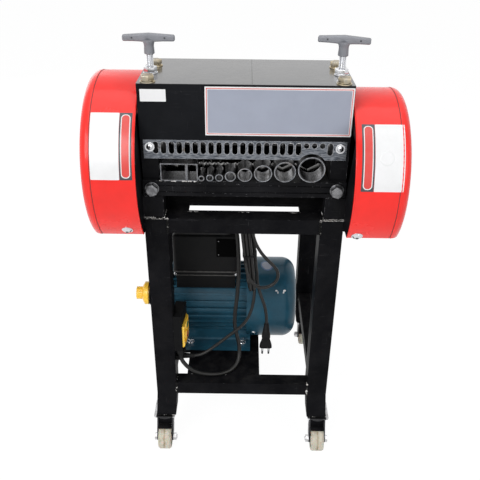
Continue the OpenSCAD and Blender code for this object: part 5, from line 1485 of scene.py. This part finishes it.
class STRIPPER_OT_switch_trim(bpy.types.Operator):
    """Adds the raised frame, the button cups and screws of the switch, and the knob's pointer"""

    bl_idname = "stripper.switch_trim"
    bl_label = "Switch trim"

    def execute(self, context):
        face = Matrix.Translation((-116.0, STAND_FRONT, 0)) @ Matrix.Rotation(math.radians(-5.5), 4, "Z")
        bm = bmesh.new()
        upright = Matrix(((0, 0, 1, 1.5), (1, 0, 0, 24.5), (0, 1, 0, 284.5), (0, 0, 0, 1)))
        band(bm, 45.0, 49.0, 4.0, 3.4, 2.4, face @ upright)
        for z in (296.0, 273.0):
            cup = [(7.3, 0.0), (10.6, 0.0), (9.4, 3.4), (8.2, 3.6), (7.3, 3.0)]
            turned(bm, cup, face @ facing((1, 0, 0), (1.5, 30.0, z)), 36, True)
        for z in (264.5, 304.5):
            rod(bm, face @ Vector((1.4, 11.0, z)), face @ Vector((3.4, 11.0, z)), 2.6, 2.0, 20, 0.4, 1)
        finish_piece(bm, "switch_frame", ["yellow_plastic", "bright_steel"], "stand", 35.0)
        bm = bmesh.new()
        for z in (252.6, 334.4):
            slab(bm, (-131.9, -153.2, z - 0.5), (-117.4, -104.0, z + 0.5), 0.4)
        finish_piece(bm, "switch_seam", "grey_box", "stand", 35.0)
        bm = bmesh.new()
        slab(bm, (-199.35, -136.0, 378.0), (-198.4, -133.0, 387.0), 0.4)
        finish_piece(bm, "knob_pointer", "label_white", "selector", 35.0)
        bm = bmesh.new()
        ring = [(18.2, 0.0), (22.6, 0.0), (22.4, 1.6), (21.0, 2.2), (18.2, 2.2)]
        turned(bm, ring, facing((-1, 0, 0), (-172.0, FRONT_LEG_Y, 376.0)), 40, True)
        finish_piece(bm, "knob_ring", "grey_box", "stand", 35.0)
        return {"FINISHED"}


# ---- covers ----


def seam_ring(bm, cover, side, x, profile):
    """A ring round a cover, cut off level with its open bottom."""
    part = bmesh.new()
    turned(part, profile, Matrix.Identity(4), 96, True)
    part.transform(facing((side, 0, 0), (side * x, cover["y"], cover["z"])))
    bmesh.ops.bisect_plane(part, geom=part.verts[:] + part.edges[:] + part.faces[:],
                           plane_co=(0, 0, cover["cut"]), plane_no=(0, 0, -1), clear_outer=True)
    bmesh.ops.holes_fill(part, edges=[e for e in part.edges if e.is_boundary])
    join(bm, part)


def back_plate(bm, cover, side):
    """The thin sheet behind a cover, cut out for the side frame and the roller shaft."""
    y, z, r = cover["y"], cover["z"], cover["r"] - 1.2
    front, back, low = -145.8, 11.8, 585.7
    cut = cover["cut"] + 1.0
    first = math.atan2(math.sqrt(r * r - (front - y) ** 2), front - y)
    second = 2 * math.pi + math.asin((cut - z) / r)
    last = 2 * math.pi + math.atan2(math.sqrt(r * r - (back - y) ** 2), back - y)
    outline = []
    for start, end in ((first, 3 * math.pi - second), (second, last)):
        for i in range(33):
            a = start + (end - start) * i / 32
            outline.append((y + r * math.cos(a), z + r * math.sin(a)))
    outline += [(back, low), (-58.0, low), (-58.0, 562.0), (-116.0, 562.0), (-116.0, low), (front, low)]
    part = bmesh.new()
    part.faces.new([part.verts.new((0.0, py, pz)) for py, pz in outline])
    bmesh.ops.triangulate(part, faces=part.faces[:])
    made = bmesh.ops.extrude_face_region(part, geom=part.faces[:])
    bmesh.ops.translate(part, verts=[v for v in made["geom"] if isinstance(v, bmesh.types.BMVert)],
                        vec=(0.4, 0, 0))
    join(bm, part, Matrix.Translation((side * 172.25 - 0.2, 0, 0)))


class STRIPPER_OT_cover_trim(bpy.types.Operator):
    """Adds the seams, hems and back plates of both round covers"""

    bl_idname = "stripper.cover_trim"
    bl_label = "Cover trim"

    def execute(self, context):
        for name, cover, side in (("left", LEFT_COVER, -1), ("right", RIGHT_COVER, 1)):
            r = cover["r"]
            bm = bmesh.new()
            seam = [(r - 0.6, 0.0), (r + 0.22, 0.0), (r + 0.22, 0.9), (r - 0.6, 0.9)]
            seam_ring(bm, cover, side, 244.0, seam)
            finish_piece(bm, name + "_seam", "belt_rubber", "stand", 35.0)
            bm = bmesh.new()
            inner = [(r - 1.0, 0.0), (r + 0.5, 0.2), (r + 0.9, 1.0), (r + 0.5, 1.9), (r - 1.0, 2.2)]
            outer = [(r - 0.6, 0.0), (r + 0.45, 0.3), (r + 0.6, 1.4), (r + 0.3, 2.6), (r - 0.6, 3.0)]
            seam_ring(bm, cover, side, 172.7, inner)
            seam_ring(bm, cover, side, 245.4, outer)
            finish_piece(bm, name + "_hem", "red_cover", "stand", 35.0)
            bm = bmesh.new()
            back_plate(bm, cover, side)
            finish_piece(bm, name + "_back_plate", "black_frame", "stand", 35.0)
        return {"FINISHED"}


# ---- finishes of the solids ----


class STRIPPER_OT_finishes(bpy.types.Operator):
    """Gives every solid the finish of its material slot"""

    bl_idname = "stripper.finishes"
    bl_label = "Finishes"

    def execute(self, context):
        slots = {row["node"]: row["material_slot"] for row in frame["record"]["subparts"]}
        for node, solid in frame["nodes"].items():
            solid.data.materials.clear()
            solid.data.materials.append(finish_of(slots[node]))
            if node in SOFT_EDGES:
                weld = solid.modifiers.new("Weld", "WELD")
                weld.merge_threshold = 0.00001
                edge = solid.modifiers.new("Edge", "BEVEL")
                edge.width = SOFT_EDGES[node]
                edge.segments = 2
                edge.limit_method = "ANGLE"
                edge.angle_limit = math.radians(40)
        return {"FINISHED"}


# ---- stage ----

SENSOR_WIDTH = 36.0
FOCAL_PIXELS = 617.2908
PICTURE_PIXELS = 480
CAMERA_PLACE = (-0.000306, -1.0915847, 1.0425552)
HEADING_DEGREES = 0.37185
LOOKING_DOWN_DEGREES = 29.86045
ROLL_DEGREES = 0.58463


class STRIPPER_OT_stage(bpy.types.Operator):
    """Sets the white world, the pale floor and the studio lights"""

    bl_idname = "stripper.stage"
    bl_label = "Stage"

    def execute(self, context):
        scene = context.scene
        scene.view_settings.view_transform = "Standard"
        world = bpy.data.worlds.new("Studio")
        scene.world = world
        world.use_nodes = True
        tree = world.node_tree
        tree.nodes.clear()
        path = put(tree, "ShaderNodeLightPath")
        seen = sums(tree, "MAXIMUM", path.outputs["Is Camera Ray"], path.outputs["Is Transmission Ray"])
        seen = sums(tree, "MAXIMUM", seen, path.outputs["Is Glossy Ray"])
        soft = put(tree, "ShaderNodeBackground", {"Color": (0.95, 0.97, 1.0, 1.0), "Strength": 0.35})
        white = put(tree, "ShaderNodeBackground", {"Color": (1.0, 1.0, 1.0, 1.0), "Strength": 1.06})
        mixed = put(tree, "ShaderNodeMixShader", {0: seen, 1: soft.outputs[0], 2: white.outputs[0]})
        put(tree, "ShaderNodeOutputWorld", {0: mixed.outputs[0]})

        bm = bmesh.new()
        bmesh.ops.create_grid(bm, x_segments=1, y_segments=1, size=6.0)
        mesh = bpy.data.meshes.new("floor")
        bm.to_mesh(mesh)
        bm.free()
        floor = bpy.data.objects.new("floor", mesh)
        floor.location = (0, 0, -0.0005)
        scene.collection.objects.link(floor)
        material, tree, shader = start_material("Pale floor", Roughness=0.9, Specular_IOR_Level=0.1)
        speckle = noise(tree, place_of(tree), 3.0, 2.0)
        pale = blend_colour(tree, speckle, (0.92, 0.92, 0.92), (0.95, 0.95, 0.95))
        tree.links.new(pale, shader.inputs["Base Color"])
        output = tree.nodes["Material Output"]
        path = put(tree, "ShaderNodeLightPath")
        glow = put(tree, "ShaderNodeEmission", {"Color": (1.0, 1.0, 1.0, 1.0), "Strength": 1.06})
        seen = sums(tree, "MAXIMUM", path.outputs["Is Camera Ray"], path.outputs["Is Glossy Ray"])
        share = put(tree, "ShaderNodeMixShader", {0: sums(tree, "MULTIPLY", seen, 0.9),
                                                  1: shader.outputs[0], 2: glow.outputs[0]})
        tree.links.new(share.outputs[0], output.inputs[0])
        mesh.materials.append(material)

        for name, place, size, power in (
            ("key", (-1.3, -2.3, 2.1), 1.6, 46.0), ("fill", (1.7, -2.1, 1.5), 1.8, 15.0),
            ("top", (0.0, -0.2, 2.6), 2.0, 18.0), ("back", (-1.6, 2.2, 1.2), 1.6, 9.0),
        ):
            data = bpy.data.lights.new(name, "AREA")
            data.shape = "SQUARE"
            data.size = size
            data.energy = power
            lamp = bpy.data.objects.new(name, data)
            aim = Vector((0, 0, 0.45)) - Vector(place)
            lamp.matrix_world = Matrix.Translation(place) @ aim.to_track_quat("-Z", "Y").to_matrix().to_4x4()
            scene.collection.objects.link(lamp)
        return {"FINISHED"}


class STRIPPER_OT_camera(bpy.types.Operator):
    """Places the camera above and in front of the operator's side"""

    bl_idname = "stripper.camera"
    bl_label = "Camera"

    def execute(self, context):
        data = bpy.data.cameras.new("camera")
        data.sensor_width = SENSOR_WIDTH
        data.lens = FOCAL_PIXELS / PICTURE_PIXELS * SENSOR_WIDTH
        data.clip_end = 50.0
        camera = bpy.data.objects.new("camera", data)
        context.scene.collection.objects.link(camera)
        heading = Matrix.Rotation(math.radians(HEADING_DEGREES), 4, "Z")
        tilt = Matrix.Rotation(math.radians(90 - LOOKING_DOWN_DEGREES), 4, "X")
        roll = Matrix.Rotation(math.radians(ROLL_DEGREES), 4, "Z")
        camera.matrix_world = Matrix.Translation(CAMERA_PLACE) @ heading @ tilt @ roll
        context.scene.camera = camera
        return {"FINISHED"}


# ---- panel and start ----

OPERATORS = (
    STRIPPER_OT_camera, STRIPPER_OT_mains_cord, STRIPPER_OT_motor_cable, STRIPPER_OT_hank_tie,
    STRIPPER_OT_finishes, STRIPPER_OT_labels, STRIPPER_OT_welds, STRIPPER_OT_handles, STRIPPER_OT_bolts,
    STRIPPER_OT_casters, STRIPPER_OT_motor_trim, STRIPPER_OT_switch_trim, STRIPPER_OT_cover_trim,
    STRIPPER_OT_head_trim, STRIPPER_OT_stage,
)


class STRIPPER_PT_sidebar(bpy.types.Panel):
    """Lists the pieces of the cable stripper's dressing"""

    bl_idname = "STRIPPER_PT_sidebar"
    bl_label = "Cable stripper"
    bl_space_type = "VIEW_3D"
    bl_region_type = "UI"
    bl_category = "Cable stripper"

    def draw(self, context):
        scene = context.scene
        for group in (scene.stripper_cords, scene.stripper_paint, scene.stripper_trim):
            box = self.layout.box()
            for name in group.__annotations__:
                box.prop(group, name)
        for operator in OPERATORS:
            self.layout.operator(operator.bl_idname)


GROUPED = (("stripper_cords", CordSizes), ("stripper_paint", PaintColours), ("stripper_trim", TrimSizes))


def register():
    for _, group in GROUPED:
        bpy.utils.register_class(group)
    for name, group in GROUPED:
        setattr(bpy.types.Scene, name, bpy.props.PointerProperty(type=group))
    for operator in OPERATORS:
        bpy.utils.register_class(operator)
    bpy.utils.register_class(STRIPPER_PT_sidebar)


def unregister():
    bpy.utils.unregister_class(STRIPPER_PT_sidebar)
    for operator in reversed(OPERATORS):
        bpy.utils.unregister_class(operator)
    for name, _ in GROUPED:
        delattr(bpy.types.Scene, name)
    for _, group in reversed(GROUPED):
        bpy.utils.unregister_class(group)


def main():
    register()
    for operator in OPERATORS:
        family, name = operator.bl_idname.split(".")
        getattr(getattr(bpy.ops, family), name)()


if __name__ == "__main__":
    main()
